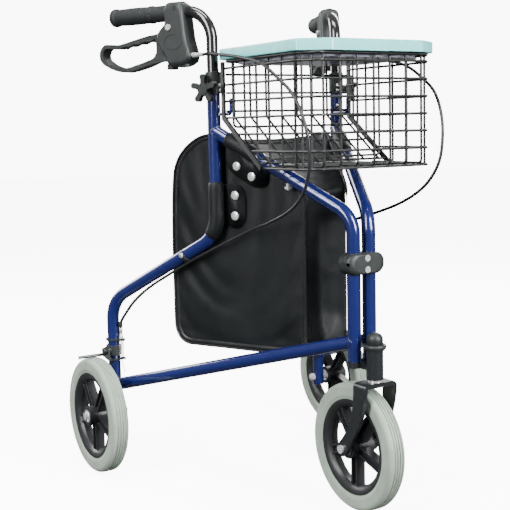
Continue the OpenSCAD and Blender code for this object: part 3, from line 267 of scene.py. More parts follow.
piping_vinyl = moulded("piping_vinyl", (0.011, 0.012, 0.013), 0.36, 900, 0.00004)
thread = Shader("thread", (0.020, 0.021, 0.024), 0.75, specular=0.2)
thread.vary_color(thread.noise(900, 2), 0.4)
thread.bump(thread.noise(2500, 2, 0.6, (1, 1, 4)), 0.0001, 0.8)

SLOT_LOOKS = {
    "frame_paint": blue_paint, "black_plastic": black_plastic, "wheel_black": wheel_plastic,
    "dark_steel": dark_enamel, "handle_black": black_paint, "basket_wire": wire_coat,
    "grip_rubber": rubber, "tyre_grey": tyre_grey, "cable_black": sheath, "bag_vinyl": vinyl,
    "bright_steel": bright_steel, "tray_aqua": aqua_plastic,
}
NODE_SLOT = {p["node"]: p["material_slot"] for p in frame["record"]["subparts"]}


# Carried-over solids: looks, soft edges and smooth shading

def soft_edges(obj, width, segments=2, angle=32):
    """Welds the tessellated solid and rounds its sharp edges."""
    weld = obj.modifiers.new("weld", "WELD")
    weld.merge_threshold = 0.000004
    bevel = obj.modifiers.new("bevel", "BEVEL")
    bevel.width = width * MM
    bevel.segments = segments
    bevel.limit_method = "ANGLE"
    bevel.angle_limit = math.radians(angle)
    bevel.use_clamp_overlap = True


EDGE_WIDTHS = {
    "tray": 2.2, "fork": 1.6, "caster_bracket": 1.0, "star_knob": 1.5, "brake_arm": 0.5, "brake_bracket": 0.6,
    "brace_link": 0.5, "collar": 0.8, "hub": 0.7, "front_hub": 0.7,
}


WIRE_COAT = 0.35


def edge_width(node):
    """Width of the rounded edges of a node, on either side; 0 for none."""
    for name, width in EDGE_WIDTHS.items():
        if node == name or node.split("_", 1)[-1] == name:
            return width
    return 0.0


for name, obj in NODES.items():
    obj.data.materials.clear()
    obj.data.materials.append(SLOT_LOOKS[NODE_SLOT[name]].mat)
    width = edge_width(name)
    if width:
        soft_edges(obj, width)
    if name == "basket":
        coat = obj.modifiers.new("coat", "DISPLACE")
        coat.mid_level, coat.strength = 0.0, WIRE_COAT * MM
    obj.data.polygons.foreach_set("use_smooth", [True] * len(obj.data.polygons))
    smooth = obj.modifiers.new("normals", "WEIGHTED_NORMAL")
    smooth.keep_sharp = True


# Building blocks for new pieces

def new_piece(name, verts, faces, look, body=None, slot=None, smooth=True):
    mesh = bpy.data.meshes.new(name)
    mesh.from_pydata([tuple(v) for v in verts], [], faces)
    mesh.update()
    mesh.materials.append(look.mat)
    if smooth:
        mesh.polygons.foreach_set("use_smooth", [True] * len(mesh.polygons))
    obj = bpy.data.objects.new(name, mesh)
    SCENE.collection.objects.link(obj)
    if body:
        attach(obj, body)
    return obj


def smooth_path(points, count):
    """Catmull-Rom curve through the points, resampled to even steps."""
    pts = [Vector(p) for p in points]
    dense = []
    for i in range(len(pts) - 1):
        a, b, c, d = pts[max(i - 1, 0)], pts[i], pts[i + 1], pts[min(i + 2, len(pts) - 1)]
        for k in range(16):
            t = k / 16
            dense.append(0.5 * (2 * b + (c - a) * t + (2 * a - 5 * b + 4 * c - d) * t * t
                                + (3 * b - a - 3 * c + d) * t ** 3))
    dense.append(pts[-1])
    return even_steps(dense, count)


def even_steps(points, count):
    gaps = [0.0]
    for a, b in zip(points, points[1:]):
        gaps.append(gaps[-1] + (b - a).length)
    out, k = [], 0
    for i in range(count):
        want = gaps[-1] * i / (count - 1)
        while k < len(gaps) - 2 and gaps[k + 1] < want:
            k += 1
        share = (want - gaps[k]) / max(gaps[k + 1] - gaps[k], 1e-12)
        out.append(points[k].lerp(points[k + 1], share))
    return out


def sweep(points, radius, sides=12, closed=False):
    """Round tube along points, with frames carried along without twist. Gives verts and faces."""
    count = len(points)
    tangents = []
    for i in range(count):
        a = points[i - 1] if closed or i else points[i]
        b = points[(i + 1) % count] if closed or i < count - 1 else points[i]
        tangents.append((b - a).normalized())
    normal = tangents[0].orthogonal().normalized()
    verts, faces = [], []
    for i in range(count):
        if i:
            normal = tangents[i - 1].rotation_difference(tangents[i]) @ normal
            normal = (normal - tangents[i] * normal.dot(tangents[i])).normalized()
        side = tangents[i].cross(normal)
        r = radius[i] if hasattr(radius, "__len__") else radius
        for k in range(sides):
            a = 2 * math.pi * k / sides
            verts.append(points[i] + r * (math.cos(a) * normal + math.sin(a) * side))
    rows = count if closed else count - 1
    for i in range(rows):
        j = (i + 1) % count
        for k in range(sides):
            m = (k + 1) % sides
            faces.append((i * sides + k, i * sides + m, j * sides + m, j * sides + k))
    if not closed:
        faces.append(tuple(reversed(range(sides))))
        faces.append(tuple((count - 1) * sides + k for k in range(sides)))
    return verts, faces


def lathe(profile, origin, axis, sides=32):
    """Turned form: profile is (radius, height) along axis from origin, in metres."""
    axis = axis.normalized()
    u = axis.orthogonal().normalized()
    v = axis.cross(u)
    verts, faces = [], []
    for r, h in profile:
        for k in range(sides):
            a = 2 * math.pi * k / sides
            verts.append(origin + axis * h + r * (math.cos(a) * u + math.sin(a) * v))
    for i in range(len(profile) - 1):
        for k in range(sides):
            m = (k + 1) % sides
            faces.append((i * sides + k, i * sides + m, (i + 1) * sides + m, (i + 1) * sides + k))
    faces.append(tuple(reversed(range(sides))))
    faces.append(tuple((len(profile) - 1) * sides + k for k in range(sides)))
    return verts, faces


def gather(parts):
    """Joins (verts, faces) pairs into one."""
    verts, faces = [], []
    for v, f in parts:
        base = len(verts)
        verts += list(v)
        faces += [tuple(base + i for i in face) for face in f]
    return verts, faces


def dome(at, axis, r, h, base=0.0004, sides=24):
    """Low domed cap with a rolled edge."""
    profile = [(r, 0), (r, base), (r * 0.97, base + h * 0.25)]
    profile += [(r * 0.93 * math.cos(t), base + h * (0.3 + 0.7 * math.sin(t)))
                for t in [math.pi / 2 * k / 6 for k in range(6)]]
    profile.append((r * 0.03, base + h))
    return lathe(profile, Vector(at), Vector(axis), sides)


# Brake cables: the same route as the solids, smooth and round

SPRING_AHEAD = 17.0
CABLE_OUT = 133.0
CABLE_END_S = LEG_S - SPRING_AHEAD
CABLE_ROUTE = [frame_point(257.7, 8, 711)] + [Vector(p) * MM for p in (
    (-CABLE_OUT, -11, 711), (-CABLE_OUT, -45, 707), (-CABLE_OUT - 2, -105, 699), (-CABLE_OUT - 3, -165, 686),
    (-CABLE_OUT - 2, -212, 660), (-CABLE_OUT + 1, -238, 640), (-CABLE_OUT + 5, -256, 610),
    (-CABLE_OUT + 9, -264, 575), (-CABLE_OUT + 13, -260, 535), (-114, -236, 500), (-106, -190, 472),
    (-98, -121, 449), (-95, -56, 431))]
CABLE_ROUTE += [frame_point(s, 0, z) for s, z in (
    (UPRIGHT_S - 5, 405), (UPRIGHT_S + 56, 376), (UPRIGHT_S + 98, 353), (LEG_S - 85, 328), (LEG_S - 51, 302),
    (LEG_S - 28, 276), (CABLE_END_S - 0.5, 261), (CABLE_END_S, 251.6))]
CABLE_D = 5 * MM

for side_name, side in SIDES:
    route = mirrored(CABLE_ROUTE, side)
    path = smooth_path(route, 150)
    verts, faces = sweep(path, CABLE_D / 2, 14)
    cable = new_piece(f"{side_name}_cable_sheath", verts, faces, sheath, slot="cable_black")
    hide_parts(f"{side_name}_brake_cable")
    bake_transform(cable)

# Return springs of the rear brakes

SPRING_R, SPRING_WIRE, SPRING_TURNS = 3.9, 1.2, 9
for side_name, side in SIDES:
    node = f"{side_name}_brake_spring"
    lo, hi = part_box(node)
    middle = (lo + hi) / 2
    z0, z1 = lo.z + SPRING_WIRE * MM / 2, hi.z - SPRING_WIRE * MM / 2
    path = []
    for i in range(SPRING_TURNS * 24 + 1):
        t = i / 24
        a = 2 * math.pi * t
        path.append(Vector((middle.x + SPRING_R * MM * math.cos(a), middle.y + SPRING_R * MM * math.sin(a),
                            z0 + (z1 - z0) * t / SPRING_TURNS)))
    verts, faces = sweep(path, SPRING_WIRE * MM / 2, 8)
    spring = new_piece(f"{side_name}_return_spring", verts, faces, bright_steel, slot="bright_steel")
    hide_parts(node)
    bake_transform(spring)

# Brake housings: smooth shells with a slot for the lever, a clamp band and a plain oval


def closed_curve(points, count):
    loop = [Vector((*p, 0)) for p in points]
    n = len(loop)
    dense = []
    for i in range(n):
        a, b, c, d = loop[i - 1], loop[i], loop[(i + 1) % n], loop[(i + 2) % n]
        for k in range(10):
            t = k / 10
            dense.append(0.5 * (2 * b + (c - a) * t + (2 * a - 5 * b + 4 * c - d) * t * t
                                + (3 * b - a - 3 * c + d) * t ** 3))
    dense.append(dense[0])
    return [(p.x, p.y) for p in even_steps(dense, count + 1)[:-1]]


def apply_modifiers(obj):
    """Replaces the mesh by what its modifiers give."""
    graph = bpy.context.evaluated_depsgraph_get()
    made = bpy.data.meshes.new_from_object(obj.evaluated_get(graph))
    obj.modifiers.clear()
    obj.data = made
    return obj


def outward_faces(obj):
    bm = bmesh.new()
    bm.from_mesh(obj.data)
    bmesh.ops.recalc_face_normals(bm, faces=bm.faces)
    bm.to_mesh(obj.data)
    bm.free()


def block(s, n, z, side):
    """Box between pairs of limits along, out of and up a side frame."""
    verts = [frame_point(a, b, c, side) for a in s for b in n for c in z]
    faces = [(0, 1, 3, 2), (4, 6, 7, 5), (0, 4, 5, 1), (2, 3, 7, 6), (0, 2, 6, 4), (1, 5, 7, 3)]
    return verts, faces


def carved(obj, cutters, node, body, round_by=0.6):
    """Cuts the given solids out of a piece, softens its edges and lets it stand for a node."""
    outward_faces(obj)
    cutter = new_piece("cutter", *gather(cutters), black_plastic)
    outward_faces(cutter)
    cut = obj.modifiers.new("cut", "BOOLEAN")
    cut.operation, cut.solver, cut.object = "DIFFERENCE", "EXACT", cutter
    apply_modifiers(obj)
    bpy.data.objects.remove(cutter)
    soften = obj.modifiers.new("soften", "BEVEL")
    soften.width, soften.segments = round_by * MM, 3
    soften.limit_method, soften.angle_limit = "ANGLE", math.radians(40)
    apply_modifiers(obj)
    obj.data.polygons.foreach_set("use_smooth", [True] * len(obj.data.polygons))
    normals = obj.modifiers.new("normals", "WEIGHTED_NORMAL")
    normals.keep_sharp = True
    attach(obj, body)
    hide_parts(node)


def prism(curve, n, side):
    """Plate of a closed (s, z) curve, with half thickness n given as a function of s."""
    count = len(curve)
    verts = [frame_point(s, way * n(s), z, side) for way in (-1, 1) for s, z in curve]
    faces = [(k, (k + 1) % count, count + (k + 1) % count, count + k) for k in range(count)]
    faces += [tuple(reversed(range(count))), tuple(range(count, 2 * count))]
    return verts, faces


GRIP_Z = 781.0
HOUSING_OUTLINE = [(329, 787), (325, 794), (313, 796), (300, 795.5), (294.5, 788), (292, 770), (290, 753),
                   (287.5, 736), (283, 721), (280.5, 708), (284, 700), (294, 695), (311, 693.5), (324, 696),
                   (330, 709), (337, 717.5), (342.5, 727), (346.5, 740), (344.5, 750), (336, 758), (329.5, 766)]
HOUSING_MIDDLE = (312.0, 743.0)
HOUSING_LEVELS = [(17, 0.82), (16.8, 0.86), (16.2, 0.90), (15.0, 0.945), (13.0, 0.98), (10.0, 1.0)]
HOUSING_LEVELS += [(-n, f) for n, f in reversed(HOUSING_LEVELS)]
OVAL_AT, OVAL_SIZE = (311.4, 733.2), (17.0, 11.9)

for side_name, side in SIDES:
    body = f"{side_name}_handle"
    rearward, outward, upward = frame_axes(side)
    curve = closed_curve(HOUSING_OUTLINE, 132)
    verts, faces = [], []
    for n, f in HOUSING_LEVELS:
        for s, z in curve:
            verts.append(frame_point(HOUSING_MIDDLE[0] + (s - HOUSING_MIDDLE[0]) * f, n,
                                     HOUSING_MIDDLE[1] + (z - HOUSING_MIDDLE[1]) * f, side))
    count = len(curve)
    for i in range(len(HOUSING_LEVELS) - 1):
        for k in range(count):
            m = (k + 1) % count
            faces.append((i * count + k, i * count + m, (i + 1) * count + m, (i + 1) * count + k))
    faces.append(tuple(range(count)))
    faces.append(tuple((len(HOUSING_LEVELS) - 1) * count + k for k in reversed(range(count))))
    shell = new_piece(f"{side_name}_brake_shell", verts, faces, black_plastic)
    carved(shell, [block((308.5, 390), (-6.1, 6.1), (655, 768), side)], f"{side_name}_brake_housing", body)
    band = lathe([(r * MM, h * MM) for r, h in ((12.2, 0), (16.0, 0), (16.8, 0.5), (17.0, 1.4), (17.0, 27.6),
                                               (16.8, 28.5), (16.0, 29), (12.2, 29))],
                 frame_point(300, 0, GRIP_Z, side), rearward, 56)
    # The oval seam is a thin near-black ring on the face: painted shade of the seam line
    oval = []
    for k in range(72):
        a = 2 * math.pi * k / 72
        oval.append(frame_point(OVAL_AT[0] + OVAL_SIZE[0] * math.cos(a), 17.0,
                                OVAL_AT[1] + OVAL_SIZE[1] * math.sin(a), side))
    ring = sweep(oval, 0.6 * MM, 6, closed=True)
    lock = block((320, 331.5), (-7.6, 7.6), (690.5, 699), side)
    lip = block((283, 300), (8.5, 13.2), (692.5, 697.5), side)
    trims = new_piece(f"{side_name}_housing_trims", *gather([band, lock, lip]), black_plastic, body,
                      "black_plastic")
    soft_edges(trims, 0.9)
    # The hex recess, its rim and the well are thin near-black discs on the face: painted shade of those hollows
    hexagon = lathe([(3.9 * MM, 0), (3.9 * MM, 0.5 * MM)], frame_point(307, 16.6, 785, side), outward, 6)
    rim_ring = lathe([(5.4 * MM, 0), (5.4 * MM, 0.25 * MM)], frame_point(307, 16.6, 785, side), outward, 28)
    well = lathe([(6.6 * MM, 0), (6.6 * MM, 0.2 * MM)], frame_point(320, 17.0, 757, side), outward, 28)
    new_piece(f"{side_name}_housing_recess_shades", *gather([hexagon, rim_ring, well, ring]), recess_shade_black, body, "black_plastic",
              smooth=False)
    marks = [dome(frame_point(s, 13.6, GRIP_Z + 3, side), outward, 1.3 * MM, 0.6 * MM, sides=12)
             for s in (402, 381, 360)]
    new_piece(f"{side_name}_grip_marks", *gather(marks), black_plastic, body, "grip_rubber")

# Loop levers: a smooth hand loop that narrows where it runs into the housing

PIVOT = (320.0, GRIP_Z - 24)
LEVER_TIP = (453.5, GRIP_Z - 61)


def arc_points(middle, r, a, b, count):
    """Points of an arc from angle a to b, in degrees."""
    return [(middle[0] + r * math.cos(math.radians(a + (b - a) * k / count)),
             middle[1] + r * math.sin(math.radians(a + (b - a) * k / count))) for k in range(count + 1)]


def below_grip(points):
    return [(s, GRIP_Z - z) for s, z in points]


LEVER_EDGE = arc_points(PIVOT, 8, 200, 20, 8)
LEVER_EDGE += below_grip([(336, 28), (348, 31), (366, 34), (396, 39.5), (426, 45), (440, 44.5)])
LEVER_EDGE += arc_points(LEVER_TIP, 18, 80, -60, 10)
LEVER_EDGE += below_grip([(450, 83), (433, 89), (415, 91), (386, 86), (362, 80), (346, 77), (334, 77), (329, 70),
                          (325, 58), (317, 40)])
# The upper edge of the window has waves for the fingers
LEVER_WINDOW = [(355 + 82 * t, GRIP_Z - 40.5 - 11 * t - 0.8 * (1 - math.cos(8 * math.pi * t)))
                for t in [i / 24 for i in range(25)]]
LEVER_WINDOW += arc_points(LEVER_TIP, 11, 80, -60, 8)
LEVER_WINDOW += below_grip([(446, 78), (431, 82.5), (414, 84), (388, 79), (370, 74.5), (358, 69), (354, 60)])
NECK_END, NECK_TAPER, NECK_HALF, LOOP_HALF = 349, 24, 5.5, 11.0


def lever_half(s):
    """Half thickness of the lever: a thin neck that widens smoothly into the loop."""
    t = min(1.0, max(0.0, (s - NECK_END) / NECK_TAPER))
    return NECK_HALF + (LOOP_HALF - NECK_HALF) * t * t * (3 - 2 * t)


for side_name, side in SIDES:
    _, outward, _ = frame_axes(side)
    plate = prism(closed_curve(LEVER_EDGE, 200), lever_half, side)
    lever = new_piece(f"{side_name}_hand_lever", *plate, black_plastic)
    window = prism(closed_curve(LEVER_WINDOW, 180), lambda s: 20.0, side)
    bore = lathe([(3.2 * MM, 0), (3.2 * MM, 0.05)], frame_point(PIVOT[0], -25, PIVOT[1], side), outward, 28)
    carved(lever, [window, bore], f"{side_name}_brake_lever", f"{side_name}_lever", 1.6)

# Upper clamp: two rounded halves round both front tubes

CLAMP_Z, CLAMP_END, CLAMP_HIGH, CLAMP_DEEP = 387.5, 35.5, 16.5, 17.0
CLAMP_SPLIT, CLAMP_ROUND, CLAMP_ROUND_X, CLAMP_ROUND_Z = 0.3, 8.0, 12.0, 3.5
CLAMP_CORNER, CLAMP_SIDES = 16.0, 64
CLAMP_BORE_R = TUBE_R + 0.05
CLAMP_HOLE_TURN = math.radians(32.6)


def clamp_half(way):
    """Half of a long rounded block, on the front (-1) or rear (1) side of the split."""
    straight = CLAMP_DEEP - CLAMP_ROUND
    rings = [(CLAMP_SPLIT, 0.0), (straight, 0.0)]
    rings += [(straight + CLAMP_ROUND * math.sin(a), 1 - math.cos(a)) for a in
              [math.pi / 2 * k / 8 for k in range(1, 9)]]
    row = CLAMP_SIDES
    verts, faces = [], []
    for deep, inset in rings:
        for k in range(row):
            a = 2 * math.pi * (k + 0.5) / row
            x = math.copysign(CLAMP_END - CLAMP_ROUND_X * inset - CLAMP_CORNER, math.cos(a))
            x += CLAMP_CORNER * math.cos(a)
            z = CLAMP_Z + (CLAMP_HIGH - CLAMP_ROUND_Z * inset) * math.sin(a)
            verts.append(Vector((x, FRONT_TUBE_Y + way * deep, z)) * MM)
    for i in range(len(rings) - 1):
        for k in range(row):
            m = (k + 1) % row
            faces.append((i * row + k, i * row + m, (i + 1) * row + m, (i + 1) * row + k))
    faces += [tuple(range(row)), tuple(reversed(range(len(verts) - row, len(verts))))]
    return verts, faces


def clamp_cuts():
    """Bores for both tubes, stepped holes for the screws and a blind hole at each end."""
    up, ahead = Vector((0, 0, 1)), Vector((0, -1, 0))
    made = [lathe([(CLAMP_BORE_R * MM, 0), (CLAMP_BORE_R * MM, 0.08)],
                  Vector((x, FRONT_TUBE_Y, CLAMP_Z - 40)) * MM, up, 48) for x in (-FRONT_HALF_GAP, FRONT_HALF_GAP)]
    made += [lathe([(r * MM, h * MM) for r, h in ((2.6, 0), (2.6, 54), (5.1, 54), (5.1, 62))],
                   Vector((0, FRONT_TUBE_Y + 40, CLAMP_Z + z)) * MM, ahead, 28) for z in (-8.7, 8.7)]
    for x in (-1, 1):
        away = Vector((x * math.cos(CLAMP_HOLE_TURN), -math.sin(CLAMP_HOLE_TURN), 0))
        at = Vector((x * FRONT_HALF_GAP, FRONT_TUBE_Y, CLAMP_Z)) * MM
        made.append(lathe([(3.2 * MM, 0.0165), (3.2 * MM, 0.045)], at, away, 24))
    return made


for name, way in (("front", -1), ("rear", 1)):
    half = new_piece(f"clamp_{name}_half", *clamp_half(way), black_plastic)
    carved(half, clamp_cuts(), f"upper_clamp_{name}", "front_block", 0.5)

# Domed cap over the caster stem, with a wide collar under it

lo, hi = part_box("stem_cap")
foot = Vector(((lo.x + hi.x) / 2, (lo.y + hi.y) / 2, lo.z))
cap = [(0.3, 10), (8.6, 10), (8.6, 0), (12.0, 0), (12.6, 0.6), (12.6, 7)]
cap += [(12.6 * math.cos(a), 7 + 11 * math.sin(a)) for a in [math.pi / 2 * k / 10 for k in range(1, 10)]]
cap.append((0.4, 18))
collar = [(14.6, -7.0), (16.6, -7.0), (17.4, -6.2), (17.6, -4), (17.4, -1.6), (16.6, -0.8), (14.6, -0.8)]
dome_cap = new_piece("stem_dome", *gather([lathe([(r * MM, h * MM) for r, h in form], foot, Vector((0, 0, 1)), 40)
                                           for form in (cap, collar)]), black_plastic, "front_block", "black_plastic")
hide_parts("stem_cap")

# Lower cable ends: barrel adjuster, ferrule, bare inner cable, and the clip with its screw

BARREL_Z = 231.95
DIAG_HIGH, DIAG_LOW = 422.0, 299.0
DIAG_TILT = math.atan((DIAG_HIGH - DIAG_LOW) / (LEG_S - UPRIGHT_S))
CLIP_S = 312.0
CLIP_Z = DIAG_HIGH - (CLIP_S - UPRIGHT_S) * math.tan(DIAG_TILT)
TAIL = [(0, 249), (0, 220), (0, 196), (-2, 184), (-6, 174)]

for side_name, side in SIDES:
    body = f"{side_name}_frame"
    rearward, outward, upward = frame_axes(side)
    foot = frame_point(CABLE_END_S, 0, BARREL_Z, side)
    barrel = lathe([(r * MM, h * MM) for r, h in ((2.2, 0), (3.3, 0.3), (3.4, 0.8), (3.4, 5.4), (3.1, 6), (2.6, 6.1),
                                                 (2.6, 12), (2.9, 12.2), (2.9, 18.4), (2.5, 19))], foot, upward, 20)
    tail = sweep(smooth_path([frame_point(CABLE_END_S + s, 0, z, side) for s, z in TAIL], 30), 0.8 * MM, 8)
    rings = [sweep([frame_point(CABLE_END_S + 3.3 * math.cos(a), 3.3 * math.sin(a), BARREL_Z + h, side)
                    for a in [2 * math.pi * k / 20 for k in range(20)]], 0.3 * MM, 5, closed=True)
             for h in (1.6, 3.0, 4.4)]
    screw_at = frame_point(CLIP_S, TUBE_R + 1.7, CLIP_Z, side)
    screw = dome(screw_at, outward, 4.0 * MM, 1.4 * MM, 0.8 * MM)
    bright = new_piece(f"{side_name}_cable_barrel", *gather([barrel, tail, screw] + rings), bright_steel, body,
                       "bright_steel")
    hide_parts(f"{side_name}_cable_fittings")
    along = (rearward * math.cos(DIAG_TILT) - upward * math.sin(DIAG_TILT)).normalized()
    across = upward * math.cos(DIAG_TILT) + rearward * math.sin(DIAG_TILT)
    middle = frame_point(CLIP_S, 0, CLIP_Z, side)
    verts, faces = [], []
    steps = [math.radians(a) for a in np.linspace(35, -82, 20)]
    for a in steps:
        out = outward * math.cos(a) + across * math.sin(a)
        for w, r in ((-4.5, 10.55), (-4.5, 12.0), (4.5, 12.0), (4.5, 10.55)):
            verts.append(middle + along * w * MM + out * r * MM)
    for i in range(len(steps) - 1):
        for k in range(4):
            m = (k + 1) % 4
            faces.append((i * 4 + k, i * 4 + m, i * 4 + 4 + m, i * 4 + 4 + k))
    faces += [(3, 2, 1, 0), tuple(len(verts) - 4 + k for k in range(4))]
    # The screw's cross slot is two near-black bars in its bright head: painted shade of the recess
    screw_slot_shades = []
    for turn_by in (0.4, 0.4 + math.pi / 2):
        u = along * math.cos(turn_by) + across * math.sin(turn_by)
        w = along * -math.sin(turn_by) + across * math.cos(turn_by)
        top = screw_at + outward * 2.0 * MM
        corners = [top + u * a * MM + w * b * MM + outward * c * MM
                   for a in (-2.3, 2.3) for b in (-0.45, 0.45) for c in (-0.4, 0.3)]
        screw_slot_shades.append((corners, [(0, 1, 3, 2), (4, 6, 7, 5), (0, 4, 5, 1), (2, 3, 7, 6), (0, 2, 6, 4), (1, 5, 7, 3)]))
    end = CABLE_ROUTE[-1] if side < 0 else mirrored([CABLE_ROUTE[-1]], side)[0]
    ferrule = lathe([(r * MM, h * MM) for r, h in ((1.6, 0), (3.1, 0.2), (3.3, 0.8), (3.3, 9), (2.9, 10.5))],
                    end + upward * 0.1 * MM, upward, 18)
    new_piece(f"{side_name}_cable_clip", *gather([(verts, faces), ferrule] + screw_slot_shades), black_plastic, body,
              "black_plastic")

# Weld beads where the tubes of a side frame meet


def weld_bead(s0, z0, slope, meet, way):
    """Bead round a tube through (s0, z0) at the given slope, where it meets an upright tube."""
    points, radii = [], []
    for k in range(64):
        a = 2 * math.pi * k / 64
        n, q = TUBE_R * math.cos(a), TUBE_R * math.sin(a)
        s = meet + way * math.sqrt(max(TUBE_R ** 2 - n ** 2, 0))
        t = (s - s0 + q * math.sin(slope)) / math.cos(slope)
        points.append((s, n, z0 + t * math.sin(slope) + q * math.cos(slope)))
        radii.append((1.5 + 0.25 * math.sin(11 * a)) * MM)
    return points, radii


BEADS = [weld_bead(0, 458.5, math.atan((590 - 458.5) / UPRIGHT_S), UPRIGHT_S, -1),
         weld_bead(0, 268.7, math.atan((148 - 268.7) / LEG_S), 0, 1),
         weld_bead(0, 268.7, math.atan((148 - 268.7) / LEG_S), LEG_S, -1)]
for side_name, side in SIDES:
    beads = [sweep([frame_point(*p, side) for p in points], radii, 8, closed=True) for points, radii in BEADS]
    new_piece(f"{side_name}_weld_beads", *gather(beads), blue_paint, f"{side_name}_frame", "frame_paint")
    rearward, outward, upward = frame_axes(side)
    rivets = [dome(frame_point(UPRIGHT_S - r, 0, z, side), -rearward, 2.6 * MM, 1.3 * MM, sides=14)
              for r, z in ((12.2, 662), (12.2, 654), (10.5, 628), (10.5, 616))]
    new_piece(f"{side_name}_rivets", *gather(rivets), bright_steel, f"{side_name}_frame", "bright_steel")

# Bag: two side panels, folded front, back, floor and a slack top

BAG_OUTLINE = [(95, 499), (130, 519), (180, 545), (230, 570), (262, 582), (276, 583), (292, 578), (308, 569),
               (322, 557), (332, 544), (339, 528), (342, 510), (345, 470), (347, 400), (347, 320), (347, 268),
               (344, 253), (337, 242), (327, 236), (315, 234), (250, 234), (180, 234), (120, 235), (106, 237),
               (96, 243), (92, 256), (91, 330), (91, 420), (91, 482)]
BAG_N = -(BAG_INSET + 1.8)
FRONT_TUCK, BACK_BELLY, FLOOR_SAG, TOP_SAG = 20 * MM, 9 * MM, 4 * MM, 7 * MM


outline = closed_curve(BAG_OUTLINE, 160)
rim = {side: [frame_point(s, BAG_N, z, side) for s, z in outline] for _, side in SIDES}


def outline_normal(i):
    """Outward direction of the side outline at point i, as (rearward, up)."""
    a, b = outline[i - 1], outline[(i + 1) % len(outline)]
    d = Vector((b[0] - a[0], b[1] - a[1])).normalized()
    return Vector((-d.y, d.x))


def bag_shell():
    """Closed shell: gusset strips from panel to panel, then the two panels."""
    across = 26
    count = len(outline)
    verts, faces = [], []
    for i in range(count):
        a, b = rim[-1][i], rim[1][i]
        out = outline_normal(i)
        for k in range(across + 1):
            t = k / across
            p = a.lerp(b, t)
            bow = math.sin(math.pi * t)
            fold = 1 - abs(2 * t - 1)
            s, z = outline[i]
            if out.x < -0.7:
                reach = min(1.0, max(0.0, (z - 236) / 60), max(0.0, (488 - z) / 40))
                p.y += FRONT_TUCK * fold ** 0.8 * reach
            elif out.x > 0.6:
                p.y += BACK_BELLY * bow
            elif out.y < -0.6:
                p.z -= FLOOR_SAG * bow
            else:
                p.z -= TOP_SAG * bow * min(1.0, max(0.0, (s - 92) / 60))
            verts.append(p)
    row = across + 1
    for i in range(count):
        j = (i + 1) % count
        for k in range(across):
            faces.append((i * row + k, j * row + k, j * row + k + 1, i * row + k + 1))
    for edge in (0, across):
        middle = sum((verts[i * row + edge] for i in range(count)), Vector()) / count
        verts.append(middle)
        hub = len(verts) - 1
        for i in range(count):
            j = (i + 1) % count
            face = (i * row + edge, hub, j * row + edge)
            faces.append(face if edge == 0 else face[::-1])
    return verts, faces


verts, faces = bag_shell()
bag = new_piece("bag_shell", verts, faces, vinyl, slot="bag_vinyl")
outward_faces(bag)


def distance_to(points, targets):
    """Least distance from each point to a cloud of targets."""
    best = np.full(len(points), 1e9)
    for k in range(0, len(targets), 64):
        d = np.linalg.norm(points[:, None, :] - targets[None, k:k + 64, :], axis=2)
        best = np.minimum(best, d.min(1))
    return best


def mesh_points(mesh):
    co = np.zeros(len(mesh.vertices) * 3)
    mesh.vertices.foreach_get("co", co)
    return co.reshape(-1, 3)


def sewn_bag(obj):
    """Even mesh, then cloth held at its piped edges and let sag, kept clear of the frames."""
    remesh = obj.modifiers.new("remesh", "REMESH")
    remesh.mode = "VOXEL"
    remesh.voxel_size = 0.0065
    apply_modifiers(obj)
    rest = mesh_points(obj.data)
    edges = np.array([tuple(p) for side in rim.values() for p in side])
    near = distance_to(rest, edges)
    held = obj.vertex_groups.new(name="held")
    for i in range(len(rest)):
        held.add([i], float(np.clip(1.25 - near[i] / 0.016, 0, 1)), "REPLACE")
    cloth = obj.modifiers.new("cloth", "CLOTH")
    cloth.settings.quality = 5
    cloth.settings.mass = 0.25
    cloth.settings.tension_stiffness = 30
    cloth.settings.compression_stiffness = 25
    cloth.settings.shear_stiffness = 12
    cloth.settings.bending_stiffness = 4.0
    cloth.settings.shrink_min = -0.006
    cloth.settings.vertex_group_mass = "held"
    cloth.settings.pin_stiffness = 1.0
    cloth.settings.use_pressure = True
    cloth.settings.uniform_pressure_force = 0.15
    cloth.settings.effector_weights.gravity = 0.5
    cloth.collision_settings.use_collision = False
    cloth.point_cache.frame_start = 1
    cloth.point_cache.frame_end = 30
    for number in range(1, 27):
        SCENE.frame_set(number)
    apply_modifiers(obj)
    SCENE.frame_set(1)
    moved = mesh_points(obj.data)
    step = moved - rest
    size = np.linalg.norm(step, axis=1)
    step *= np.minimum(1.0, 0.012 / np.maximum(size, 1e-9))[:, None]
    obj.data.vertices.foreach_set("co", (rest + step).ravel())


def keep_inside(obj, least=BAG_INSET + 0.5):
    """Holds every point on the bag's side of the frame planes."""
    co = mesh_points(obj.data)
    x, y = np.abs(co[:, 0]) / MM - FRONT_HALF_GAP, co[:, 1] / MM - FRONT_TUBE_Y
    n = x * COS_SPLAY - y * SIN_SPLAY
    over = np.maximum(0.0, n + least)
    co[:, 0] -= np.sign(co[:, 0]) * over * COS_SPLAY * MM
    co[:, 1] += over * SIN_SPLAY * MM
    obj.data.vertices.foreach_set("co", co.ravel())
    obj.data.update()


sewn_bag(bag)
keep_inside(bag)
smoother = bag.modifiers.new("smoother", "SMOOTH")
smoother.factor = 0.5
smoother.iterations = 3
finer = bag.modifiers.new("finer", "SUBSURF")
finer.levels = finer.render_levels = 1
apply_modifiers(bag)
bag.data.polygons.foreach_set("use_smooth", [True] * len(bag.data.polygons))
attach(bag, "front_block")
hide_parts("bag")
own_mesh(bag)

# Piped edges and the stitch line beside them

FLANGE = [(0.5, 0.5), (5, 0.5), (9, 0.0), (9, -1.2), (0.5, -1.2)]


